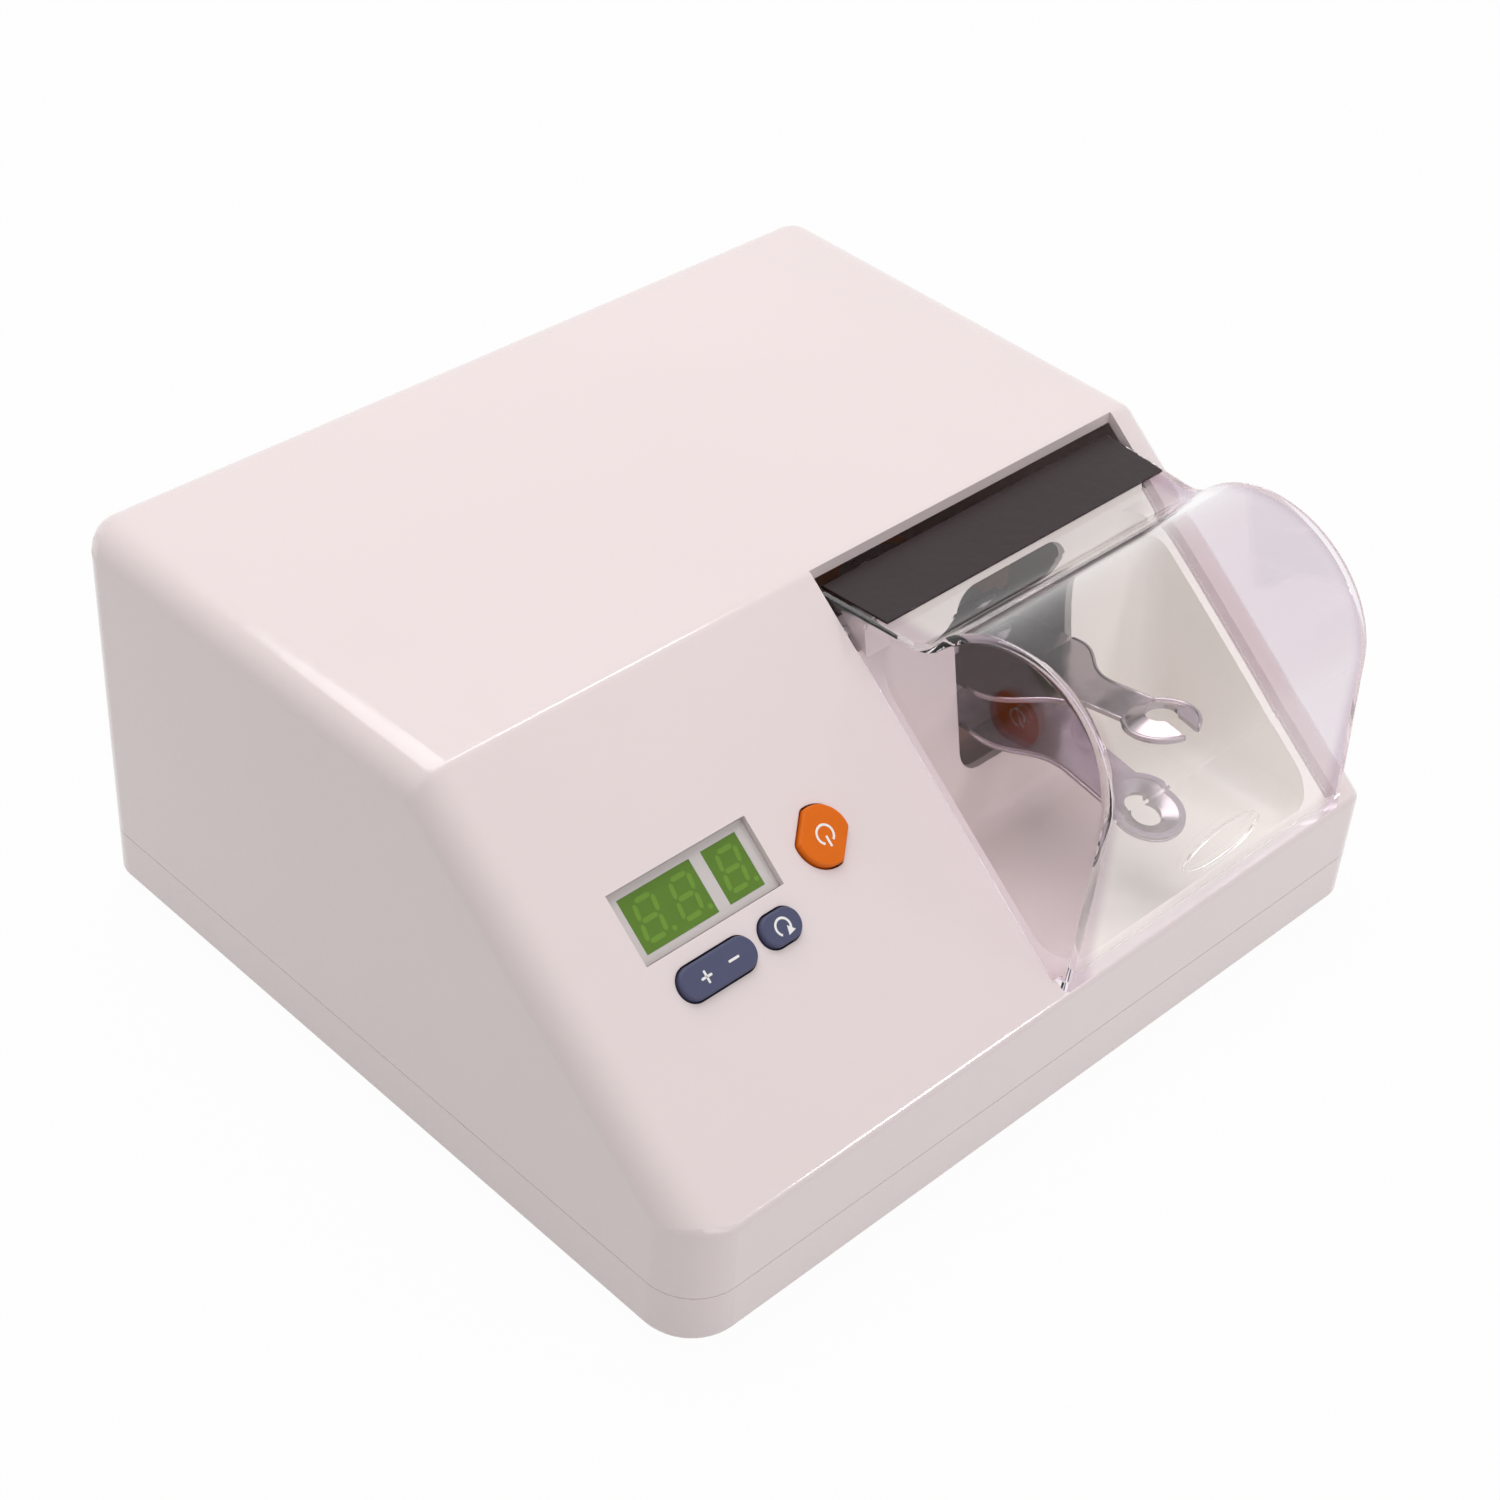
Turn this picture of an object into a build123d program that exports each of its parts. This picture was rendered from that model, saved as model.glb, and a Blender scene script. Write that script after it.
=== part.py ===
from build123d import *
import os
from math import atan2, cos, pi, sin, sqrt, tan

os.makedirs("parts", exist_ok=True)

# A bench-top dental amalgamator. Millimetres, +Z up, front towards -Y.
# The origin lies on the table, under the middle of the case.

# ---------------------------------------------------------------- driving dimensions
# Case: two moulded shells that meet at a seam near the table
case_width = 225.0
case_depth = 203.0
case_height = 100.0
case_wall = 2.5
front_wall_height = 31.5
panel_run = 86.0         # from the front face back to the panel's top crease
left_front_radius = 13.0
left_back_radius = 7.5
right_corner_radius = 7.5
side_edge_radius = 8.5
top_crease_radius = 4.0
front_crease_radius = 2.5
back_edge_radius = 6.0
corner_lap = 0.01        # an upright corner meets the flat sides this much proud of them
seam_height = 13.0
seam_gap = 0.15
tongue_height = 3.0
tongue_wall = 1.2
base_edge_radius = 1.2

# Feet and the screws that close the case
foot_height = 4.0
foot_diameter = 18.0
foot_top_diameter = 16.0
foot_plug_diameter = 6.0
foot_inset_x = 24.0
foot_inset_y = 24.0
case_screw_diameter = 3.0
case_screw_head = 5.6
case_screw_head_height = 2.0
case_screw_inset = 8.5
case_boss_diameter = 8.0
case_screw_bite = 8.0
counterbore_depth = 3.0

# Opening in the sloping panel, under the clear cover
window_right_margin = 10.7
window_width = 102.8
window_front = 4.5

# Chamber liner: a moulded tub that hangs under the opening
liner_wall = 2.2
liner_flange = 2.5
liner_flange_overlap = 5.0
liner_right_overlap = 2.0
ledge_width = 5.0
tub_floor_height = 24.0
tub_front_set_back = 6.5
tub_fillet = 8.0
back_wall_lean = 11.5
back_wall_set_back = 66.4        # from the front face, at the height on the next line
back_wall_ref_height = 67.7
back_wall_drop = 9.5
back_wall_side_clear = 4.3
slot_width = 38.0
slot_bottom_height = 40.0
slot_top_drop = 14.0
slot_corner = 6.5
lug_thickness = 2.5
lug_radius = 3.8
liner_screw_diameter = 2.5
liner_screw_first = 12.5
liner_screw_second = 65
liner_screw_head = 4.5
lid_switch_width = 20.0
lid_switch_height = 10.0
lid_switch_depth = 6.4
lid_switch_offset = 30.0
lid_switch_drop = 25.2
lid_plunger_width = 1.6

# Clear cover (hood) and its hinge
hood_wall = 2.2
hood_side_clear = 1.0
hood_draft = 0.11
hood_flat_drop = 5.1
hood_rear_gap = 1.6
hood_hump_set_back = 30.0
hood_hump_rise = 22.6    # of the hump's centre over the panel under it
hood_hump_radius = 29.5
hood_dip_radius = 9.0
hood_edge_radius = 2.0
hood_seat_clear = 0.3
hinge_set_back = 76.0
hinge_drop = 12.5
hinge_ear_radius = 5.0
hinge_pin_diameter = 3.0
running_clear = 0.05
cross_reach = 0.62      # cross recess of a screw, as shares of the head's diameter and height
cross_width = 0.3
cross_depth = 0.5
strip_thickness = 0.6
strip_depth = 18.6
strip_side_margin = 2.2
grip_width = 27.0
grip_height = 11.0
grip_centre_rise = 17.1
grip_ridge = 0.4

# Display and keys: offsets across from the middle of the panel beside the opening, and
# distances up the slope from its front crease
display_offset = -11.65
display_up = 62.3
display_width = 39.2
display_height = 16.6
display_glass = 1.5
module_height = 12.7
two_digit_width = 20.2
two_digit_offset = -18.55
one_digit_width = 9.9
one_digit_offset = -0.15
bezel_flange = 1.5
bezel_thickness = 1.5
fit_clear = 0.1
key_rise = 1.4
key_gap = 0.45
key_flange = 1.0
key_seat_gap = 0.75
key_flange_thickness = 1.0
key_edge_round = 0.6
key_travel = 0.8
key_stem = 3.0
start_offset = 22.35
start_up = 58.4
start_diameter = 13.9     # a disc with two flats, turned on the panel
start_flats = 11.3
start_turn = 46.0
start_corner = 1.5
time_offset = -17.15
time_up = 46.2
time_width = 20.7
time_height = 7.6
time_stem_reach = 5.5
speed_offset = 1.25
speed_up = 46.6
speed_width = 10.6
speed_height = 7.3
key_corner_share = 0.49

# Control board behind the panel
board_depth = 8.2
board_thickness = 1.6
board_offset = -1.75
board_width = 78.0
board_low = 34.0
board_high = 76.0
board_boss_diameter = 6.0
board_screw_diameter = 2.5
board_screw_head = 4.5
board_screw_inset = 4.0
board_screw_bite = 4.0
switch_size = 6.0
switch_height = 1.7
plunger_diameter = 3.2
plunger_height = 0.4

# Drive: an upright motor, a skewed hub and the fork that it rocks
shaft_set_back = 102.0   # from the front face; the reaches below are from the shaft
fork_height = 57.0
motor_diameter = 48.0
motor_length = 34.0
motor_wall = 2.0
motor_cap_height = 5.0
bush_diameter = 10.0
bush_length = 5.0
bush_floor = 1.5
bush_proud = 0.5
magnet_thickness = 4.0
magnet_length = 20.0
magnet_arc = 130.0
shaft_diameter = 6.0
shaft_top_height = 72.0
armature_diameter = 34.0
armature_length = 17.0
armature_low = 8.5
armature_slots = 8
armature_slot_width = 3.0
armature_slot_depth = 7.0
commutator_diameter = 16.0
commutator_length = 6.5
commutator_low = 25.5
brush_size = 4.0
hub_diameter = 13.0
hub_length = 14.0
hub_skew = 4.0
hub_nut_size = 10.0
hub_nut_height = 3.5
bearing_outer = 22.0
bearing_clear = 0.8
bearing_height = 8.0
carrier_lip_hole = 18.0
carrier_diameter = 30.0
carrier_height = 16.0
carrier_block_width = 26.0
carrier_block_height = 10.0
carrier_block_reach = 28.0
ear_reach = 18.0
ear_diameter = 5.0

# Fork: two pressed spring-steel arms, one above the other
arm_thickness = 1.2
arm_root_width = 32.0
arm_root_reach = 16.0
arm_bend_reach = 40.0
arm_spread = 10.0
arm_neck_width = 11.0
arm_neck_reach = 62.0
ring_reach = 79.5
ring_diameter = 18.0
ring_hole = 7.5
ring_dish = 1.6
ring_slot = 4.5
fork_screw_diameter = 3.0
fork_screw_head = 5.5
fork_screw_head_height = 1.8
fork_screw_spacing = 14.0
fork_screw_reach = 23.0
fork_screw_length = 5.0

# Restraint springs at the two ears of the carrier
spring_diameter = 8.0
spring_wire = 1.0
spring_length = 13.0
spring_turns = 7
spring_gap = 0.4

# Drive frame: a folded plate on four rubber mounts
frame_thickness = 2.0
frame_skirt_height = 28.0
shaft_hole = 13.0
frame_half_width = 36.0
frame_front_reach = 28.0
frame_back_reach = 38.0
frame_deck_height = 42.5
frame_foot_width = 14.0
frame_hanger_width = 12.0
frame_hanger_rise = 18.0
mount_diameter = 12.0
mount_height = 7.0
mount_inset = 10.0
mount_screw_diameter = 3.0
mount_screw_head = 5.5
mount_screw_head_height = 1.8
mount_screw_bite = 1.8
transit_screw_diameter = 5.0
transit_screw_head = 10.0
transit_screw_head_height = 2.5
motor_screw_circle = 32.0
motor_screw_diameter = 3.0
motor_screw_head = 5.5

# Mains side: inlet, fuse and switch in a recess of the back wall
recess_depth = 5.0
recess_side_margin = 16.5
recess_width = 100.0
recess_low_height = 24.0
recess_high_height = 58.0
inlet_offset = 24.0      # from the left end of the recess, as the next two
inlet_width = 27.0
inlet_height = 19.8
inlet_flange_width = 40.0
inlet_flange_height = 24.0
inlet_flange_thickness = 2.4
inlet_depth = 22.0
socket_width = 22.0
socket_height = 15.0
socket_depth = 16.0
blade_width = 4.0
blade_thickness = 2.0
blade_spacing = 7.0
blade_set_back = 3.0
blade_length = 30.0
earth_blade_rise = 3.5
socket_chamfer = 4.0
inlet_screw_spacing = 33.0
inlet_screw_diameter = 3.0
inlet_screw_head = 5.5
inlet_screw_head_height = 1.6
inlet_screw_length = 7.0
switch_offset = 60.0
mains_switch_width = 13.0
mains_switch_height = 19.2
mains_switch_flange = 1.8
mains_switch_lip = 1.2
mains_switch_depth = 16.0
rocker_width = 9.4
rocker_height = 15.4
rocker_tilt = 9.0
rocker_clear = 0.35
rocker_pivot_depth = 1.5
rocker_valley = 3.4
fuse_offset = 84.0
fuse_diameter = 12.0
fuse_flange = 15.5
fuse_depth = 28.0
fuse_flange_thickness = 2.0
fuse_cap_diameter = 9.0
fuse_cap_length = 6.0
fuse_cap_proud = 1.2
fuse_cap_slot = 1.2
fuse_bore_depth = 26.5
fuse_tube_diameter = 5.2
fuse_tube_length = 20.0
mains_height = 41.0

# Power board, transformer and vents
power_board_side = 50.5
power_board_set_back = 60.0
power_board_width = 78.0
power_board_length = 56.0
power_board_height = 6.0
post_diameter = 6.0
capacitor_diameter = 10.0
capacitor_height = 16.0
capacitor_pitch = 14.0
heat_sink_width = 34.0
heat_sink_depth = 12.0
heat_sink_height = 22.0
heat_sink_fins = 6
heat_sink_fin = 1.6
heat_sink_base = 3.0
transformer_side = 46.5
transformer_rear = 60.0
core_width = 48.0
core_depth = 20.0
core_height = 40.0
coil_width = 28.0
coil_depth = 34.0
coil_height = 26.0
core_leg = 16.0
core_window_height = 28.0
transformer_foot = 3.0
transformer_foot_width = 64.0
vent_slot_length = 26.0
vent_slot_width = 3.0
vent_pitch = 7.0
back_vent_count = 9
back_vent_offset = -8.25
base_vent_count = 8
base_vent_rear = 40.0

# ---------------------------------------------------------------- places worked out from them
base_z = foot_height
top_z = base_z + case_height
seam_z = base_z + seam_height
crease_z = base_z + front_wall_height
tray_floor_z = base_z + case_wall
front_y = -case_depth / 2
back_y = case_depth / 2
left_x = -case_width / 2
panel_top_y = front_y + panel_run
slope = atan2(top_z - crease_z, panel_top_y - front_y)
panel = Plane(
    origin=(0, front_y, crease_z),
    x_dir=(1, 0, 0),
    z_dir=(0, -sin(slope), cos(slope)),
)
window_right = case_width / 2 - window_right_margin
window_left = window_right - window_width
chamber_x = window_left + window_width / 2
control_x = (left_x + window_left) / 2
display_x = control_x + display_offset
two_digit_x = control_x + two_digit_offset
one_digit_x = control_x + one_digit_offset
start_x = control_x + start_offset
time_x = control_x + time_offset
speed_x = control_x + speed_offset
board_x = control_x + board_offset
back_wall_y = front_y + back_wall_set_back
hinge_y = front_y + hinge_set_back
hinge_z = top_z - hinge_drop
hood_rear_y = panel_top_y - hood_rear_gap
hood_hump_y = front_y + hood_hump_set_back
shaft_y = front_y + shaft_set_back
carrier_block_front = shaft_y - carrier_block_reach
arm_root_back = shaft_y - arm_root_reach
arm_bend_y = shaft_y - arm_bend_reach
arm_neck_y = shaft_y - arm_neck_reach
ring_y = shaft_y - ring_reach
fork_screw_y = shaft_y - fork_screw_reach
frame_front_y = shaft_y - frame_front_reach
frame_back_y = shaft_y + frame_back_reach
recess_left = left_x + recess_side_margin
recess_right = recess_left + recess_width
inlet_x = recess_left + inlet_offset
switch_x = recess_left + switch_offset
fuse_x = recess_left + fuse_offset
power_board_x = left_x + power_board_side
power_board_y = front_y + power_board_set_back
transformer_x = left_x + transformer_side
transformer_y = back_y - transformer_rear
back_vent_x = (recess_right + case_width / 2) / 2 + back_vent_offset
base_vent_y = back_y - base_vent_rear
fork_z = base_z + fork_height
deck_z = base_z + frame_deck_height
mains_z = base_z + mains_height
cut_reach = 8.0


def panel_z(y, depth=0.0):
    """Height at y of the sloping panel, or of a plane that lies depth under it."""
    return crease_z + (y - front_y) * tan(slope) - depth / cos(slope)


def panel_point(up, depth=0.0):
    """(y, z) of the point that lies up the slope, and depth under the panel."""
    return (
        front_y + up * cos(slope) + depth * sin(slope),
        crease_z + up * sin(slope) - depth * cos(slope),
    )


def back_wall_at(z):
    """y of the chamber face of the liner's leaning back wall at height z."""
    return back_wall_y + (z - base_z - back_wall_ref_height) * tan(back_wall_lean * pi / 180)


def case_outline(inset):
    """Plan outline of the case, drawn in by inset, with the largest corner at the left front."""
    with BuildSketch(mode=Mode.PRIVATE) as outline:
        Rectangle(case_width - 2 * inset, case_depth - 2 * inset)
        fillet(outline.vertices().group_by(Axis.X)[-1], right_corner_radius - inset)
        fillet(outline.vertices().group_by(Axis.X)[0].sort_by(Axis.Y)[0], left_front_radius - inset)
        fillet(outline.vertices().group_by(Axis.X)[0].sort_by(Axis.Y)[-1], left_back_radius - inset)
    return outline.sketch


def case_form(inset, low_z):
    """The closed form of the case above low_z, drawn in by inset on every side."""
    y_front = front_y + inset
    y_back = back_y - inset
    z_top = top_z - inset
    z_crease = panel_z(y_front, inset)
    y_crease = front_y + (z_top - crease_z + inset / cos(slope)) / tan(slope)
    with BuildPart() as form:
        with BuildSketch(Plane.YZ) as side:
            with BuildLine():
                Polyline(
                    (y_front, low_z),
                    (y_front, z_crease),
                    (y_crease, z_top),
                    (y_back, z_top),
                    (y_back, low_z),
                    close=True,
                )
            make_face()
            crease = side.vertices().sort_by_distance((y_crease, z_top))[0]
            fillet(crease, max(top_crease_radius - inset, fit_clear))
        extrude(amount=case_width / 2 - inset, both=True)
        ends = form.faces().filter_by(Axis.X).edges()
        shoulders = ends.filter_by(lambda e: e.center().Z > z_crease + 1 and e.center().Y < y_back - 1)
        fillet(shoulders, side_edge_radius - inset)
        with BuildSketch(Plane.XY.offset(low_z)):
            add(case_outline(inset - corner_lap))
        extrude(amount=z_top - low_z, mode=Mode.INTERSECT)
        fillet(form.edges().sort_by_distance((0, y_front, z_crease))[0], front_crease_radius)
        fillet(form.edges().sort_by_distance((0, y_back, z_top))[0], back_edge_radius - inset)
    return form.part


def screw(plane, shank, length, head, head_height):
    """A cylinder-head screw whose head sits on the plane and whose shank goes down from it."""
    with BuildPart() as form:
        with BuildSketch(plane):
            Circle(head / 2)
        extrude(amount=head_height)
        with BuildSketch(plane):
            Circle(shank / 2)
        extrude(amount=-length)
        with BuildSketch(plane.offset(head_height)):
            Rectangle(head * cross_reach, head_height * cross_width)
            Rectangle(head_height * cross_width, head * cross_reach)
        extrude(amount=-head_height * cross_depth, mode=Mode.SUBTRACT)
    return form.part


# ---------------------------------------------------------------- upper housing
def key_cutout(x, up, width, height, grow):
    """Rounded outline of a key, grown all round, ready to be cut or raised on the panel."""
    with BuildSketch(mode=Mode.PRIVATE) as outline:
        with Locations((x, up)):
            RectangleRounded(
                width + 2 * grow,
                height + 2 * grow,
                (min(width, height) + 2 * grow) * key_corner_share,
            )
    return outline.sketch


def start_outline(grow):
    """Outline of the start key: a disc with two flats, turned, and grown all round."""
    with BuildSketch(mode=Mode.PRIVATE) as outline:
        Circle(start_diameter / 2 + grow)
        Rectangle(2 * start_diameter, start_flats + 2 * grow, mode=Mode.INTERSECT)
        fillet(outline.vertices(), start_corner + grow)
    return outline.sketch.rotate(Axis.Z, start_turn).translate((start_x, start_up, 0))


def key_outline(key, grow):
    """Outline of a key by its name, grown all round."""
    return start_outline(grow) if key == "start" else key_cutout(*keys[key], grow)


keys = {
    "start": (start_x, start_up, start_diameter, start_flats),
    "time": (time_x, time_up, time_width, time_height),
    "speed": (speed_x, speed_up, speed_width, speed_height),
}
board_middle = (board_x, (board_low + board_high) / 2)
board_holes = (
    board_width - 2 * board_screw_inset,
    board_high - board_low - 2 * board_screw_inset,
)
case_screw_x = case_width / 2 - case_screw_inset
case_screw_y = case_depth / 2 - case_screw_inset
case_rib_reach = case_screw_inset - case_wall / 2
recess_x = recess_left + recess_width / 2
recess_z = base_z + (recess_low_height + recess_high_height) / 2
recess_height = recess_high_height - recess_low_height
recess_y = back_y - recess_depth
liner_screw_x = window_left - liner_flange_overlap / 2
liner_screw_ups = (window_front + liner_screw_first, window_front + liner_screw_second)
liner_screw_bite = case_wall * 0.7

with BuildPart() as upper_housing:
    add(case_form(0, seam_z + seam_gap))
    add(case_form(case_wall, seam_z + seam_gap - 1), mode=Mode.SUBTRACT)

    # opening under the clear cover: square to the panel in front, upright at the crease
    with BuildSketch(Plane.YZ.offset(window_left)):
        with BuildLine():
            Polyline(
                panel_point(window_front, cut_reach),
                panel_point(window_front, -cut_reach),
                (panel_top_y, top_z + cut_reach),
                (panel_top_y, top_z - 2 * cut_reach),
                close=True,
            )
        make_face()
    extrude(amount=window_width, mode=Mode.SUBTRACT)

    # display opening and key holes through the sloping panel
    with BuildSketch(panel):
        with Locations((display_x, display_up)):
            Rectangle(display_width, display_height)
        for key in keys:
            add(key_outline(key, key_gap))
    extrude(amount=-2 * case_wall, mode=Mode.SUBTRACT)

    # bosses that carry the control board
    with BuildSketch(panel.offset(-board_depth)):
        with Locations(board_middle):
            with GridLocations(*board_holes, 2, 2):
                Circle(board_boss_diameter / 2)
    extrude(amount=board_depth - case_wall + fit_clear)
    with BuildSketch(panel.offset(-board_depth)):
        with Locations(board_middle):
            with GridLocations(*board_holes, 2, 2):
                Circle(board_screw_diameter / 2)
    extrude(amount=board_depth - case_wall, mode=Mode.SUBTRACT)

    # blind holes for the screws of the chamber liner
    with BuildSketch(panel.offset(-case_wall)):
        with Locations(*[(liner_screw_x, up) for up in liner_screw_ups]):
            Circle(liner_screw_diameter / 2)
    extrude(amount=liner_screw_bite, mode=Mode.SUBTRACT)

    # recess for the mains parts in the back wall
    with BuildSketch(Plane.XZ.offset(-recess_y + case_wall)):
        with Locations((recess_x, recess_z)):
            Rectangle(recess_width + 2 * case_wall, recess_height + 2 * case_wall)
    extrude(amount=-(recess_depth + case_wall / 2))
    with BuildSketch(Plane.XZ.offset(-back_y)):
        with Locations((recess_x, recess_z)):
            RectangleRounded(recess_width, recess_height, case_wall)
    extrude(amount=recess_depth, mode=Mode.SUBTRACT)
    with BuildSketch(Plane.XZ.offset(-recess_y)):
        with Locations((inlet_x, mains_z)):
            Rectangle(inlet_width, inlet_height)
            with GridLocations(inlet_screw_spacing, 1, 2, 1):
                Circle(inlet_screw_diameter / 2)
        with Locations((switch_x, mains_z)):
            Rectangle(mains_switch_width, mains_switch_height)
        with Locations((fuse_x, mains_z)):
            Circle(fuse_diameter / 2)
    extrude(amount=2 * case_wall, mode=Mode.SUBTRACT)

    # vent slots in the back wall
    with BuildSketch(Plane.XZ.offset(-back_y)):
        with Locations((back_vent_x, recess_z)):
            with GridLocations(vent_pitch, 1, back_vent_count, 1):
                SlotOverall(vent_slot_length, vent_slot_width, rotation=90)
    extrude(amount=2 * case_wall, mode=Mode.SUBTRACT)

    # bosses for the four case screws, each on a rib to the side wall
    with BuildSketch(Plane.XY.offset(seam_z + seam_gap)):
        with GridLocations(2 * case_screw_x, 2 * case_screw_y, 2, 2):
            Circle(case_boss_diameter / 2)
    extrude(amount=case_screw_bite)
    with BuildSketch(Plane.XY.offset(seam_z + tongue_height + seam_gap)):
        with GridLocations(2 * case_screw_x + case_rib_reach, 2 * case_screw_y, 2, 2):
            Rectangle(case_rib_reach, case_wall)
    extrude(amount=case_screw_bite - tongue_height)
    with BuildSketch(Plane.XY.offset(seam_z + seam_gap)):
        with GridLocations(2 * case_screw_x, 2 * case_screw_y, 2, 2):
            Circle(case_screw_diameter / 2)
    extrude(amount=case_screw_bite - case_wall, mode=Mode.SUBTRACT)
upper_housing.part.label = "upper_housing"
export_step(upper_housing.part, "parts/upper_housing.step")

# ---------------------------------------------------------------- base tray
foot_x = case_width / 2 - foot_inset_x
foot_y = case_depth / 2 - foot_inset_y
transit_x = frame_half_width + frame_foot_width / 2
transit_y = (frame_front_y + frame_back_y) / 2
mount_pitch = frame_back_y - frame_front_y - 2 * mount_inset
transformer_screw_pitch = (core_width + transformer_foot_width) / 2

with BuildPart() as base_tray:
    with BuildSketch(Plane.XY.offset(base_z)):
        add(case_outline(0))
    extrude(amount=seam_height)
    fillet(base_tray.faces().sort_by(Axis.Z)[0].edges(), base_edge_radius)
    with BuildSketch(Plane.XY.offset(tray_floor_z)):
        add(case_outline(case_wall))
    extrude(amount=seam_height, mode=Mode.SUBTRACT)

    # tongue that centres the upper housing
    with BuildSketch(Plane.XY.offset(tray_floor_z)):
        add(case_outline(case_wall + fit_clear))
        add(case_outline(case_wall + tongue_wall), mode=Mode.SUBTRACT)
    extrude(amount=seam_z + tongue_height - tray_floor_z)
    with BuildSketch(Plane.XY.offset(tray_floor_z)):
        add(case_outline(case_wall / 2))
        add(case_outline(case_wall + tongue_wall), mode=Mode.SUBTRACT)
    extrude(amount=seam_z - tray_floor_z)

    # columns under the case screws
    with BuildSketch(Plane.XY.offset(tray_floor_z)):
        with GridLocations(2 * case_screw_x, 2 * case_screw_y, 2, 2):
            Circle(case_boss_diameter / 2)
    extrude(amount=seam_z - tray_floor_z)
    with BuildSketch(Plane.XY.offset(seam_z)):
        with GridLocations(2 * case_screw_x, 2 * case_screw_y, 2, 2):
            Circle(case_boss_diameter / 2 + fit_clear)
    extrude(amount=tongue_height, mode=Mode.SUBTRACT)
    with BuildSketch(Plane.XY.offset(base_z)):
        with GridLocations(2 * case_screw_x, 2 * case_screw_y, 2, 2):
            Circle(case_screw_diameter / 2 + fit_clear)
    extrude(amount=seam_height, mode=Mode.SUBTRACT)
    with BuildSketch(Plane.XY.offset(base_z)):
        with GridLocations(2 * case_screw_x, 2 * case_screw_y, 2, 2):
            Circle(case_screw_head / 2 + fit_clear)
    extrude(amount=counterbore_depth, mode=Mode.SUBTRACT)

    # posts for the power board
    with BuildSketch(Plane.XY.offset(tray_floor_z)):
        with Locations((power_board_x, power_board_y)):
            with GridLocations(
                power_board_width - 2 * board_screw_inset, power_board_length - 2 * board_screw_inset, 2, 2
            ):
                Circle(post_diameter / 2)
    extrude(amount=power_board_height)
    with BuildSketch(Plane.XY.offset(tray_floor_z)):
        with Locations((power_board_x, power_board_y)):
            with GridLocations(
                power_board_width - 2 * board_screw_inset, power_board_length - 2 * board_screw_inset, 2, 2
            ):
                Circle(board_screw_diameter / 2)
    extrude(amount=power_board_height, mode=Mode.SUBTRACT)

    # blind holes for the screws of the rubber mounts and of the transformer
    with BuildSketch(Plane.XY.offset(tray_floor_z)):
        with Locations((chamber_x, transit_y)):
            with GridLocations(2 * transit_x, mount_pitch, 2, 2):
                Circle(mount_screw_diameter / 2)
        with Locations((transformer_x, transformer_y)):
            with GridLocations(transformer_screw_pitch, 1, 2, 1):
                Circle(mount_screw_diameter / 2)
    extrude(amount=-mount_screw_bite, mode=Mode.SUBTRACT)

    # through holes for the feet and the two transit screws, and the vents
    with BuildSketch(Plane.XY.offset(base_z)):
        with GridLocations(2 * foot_x, 2 * foot_y, 2, 2):
            Circle(foot_plug_diameter / 2)
        with Locations((chamber_x, transit_y)):
            with GridLocations(2 * transit_x, 1, 2, 1):
                Circle(transit_screw_diameter / 2 + fit_clear)
        with Locations((0, base_vent_y)):
            with GridLocations(vent_pitch, 1, base_vent_count, 1):
                SlotOverall(vent_slot_length, vent_slot_width, rotation=90)
    extrude(amount=2 * case_wall, mode=Mode.SUBTRACT)
base_tray.part.label = "base_tray"
export_step(base_tray.part, "parts/base_tray.step")

with BuildPart() as rubber_feet:
    with Locations((0, 0, foot_height / 2)):
        with GridLocations(2 * foot_x, 2 * foot_y, 2, 2):
            Cone(foot_top_diameter / 2, foot_diameter / 2, foot_height)
    with BuildSketch(Plane.XY.offset(foot_height)):
        with GridLocations(2 * foot_x, 2 * foot_y, 2, 2):
            Circle(foot_plug_diameter / 2 - running_clear)
    extrude(amount=case_wall + 1)
rubber_feet.part.label = "rubber_feet"
export_step(rubber_feet.part, "parts/rubber_feet.step")

with BuildPart() as case_screws:
    head_plane = Plane.XY.offset(base_z + counterbore_depth)
    upward = Plane(origin=head_plane.origin, x_dir=(1, 0, 0), z_dir=(0, 0, -1))
    case_screw = screw(
        upward, case_screw_diameter, seam_height - counterbore_depth + case_screw_bite - 2 * case_wall,
        case_screw_head, case_screw_head_height,
    )
    with GridLocations(2 * case_screw_x, 2 * case_screw_y, 2, 2):
        add(case_screw)
case_screws.part.label = "case_screws"
export_step(case_screws.part, "parts/case_screws.step")

# ---------------------------------------------------------------- chamber liner
flange_depth = case_wall + fit_clear
tub_left = window_left + ledge_width
tub_right = window_right - ledge_width
tub_width = tub_right - tub_left
tub_floor_z = base_z + tub_floor_height
tub_front_y = front_y + tub_front_set_back
back_wall_top_z = top_z - back_wall_drop
hinge_up = (hinge_y - front_y) * cos(slope) + (hinge_z - crease_z) * sin(slope)
flange_rear = hinge_up - hinge_ear_radius - hood_seat_clear
flange_front = (case_wall + fit_clear) / cos(slope)
slot_low_z = base_z + slot_bottom_height
slot_high_z = top_z - slot_top_drop
slot_mid_z = (slot_low_z + slot_high_z) / 2
slot_plane = Plane(
    origin=(chamber_x, back_wall_at(slot_mid_z), slot_mid_z),
    x_dir=(1, 0, 0),
    z_dir=(0, -cos(back_wall_lean * pi / 180), sin(back_wall_lean * pi / 180)),
)
lug_x = chamber_x - (tub_left + back_wall_side_clear - ledge_width + lug_thickness / 2)


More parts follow.
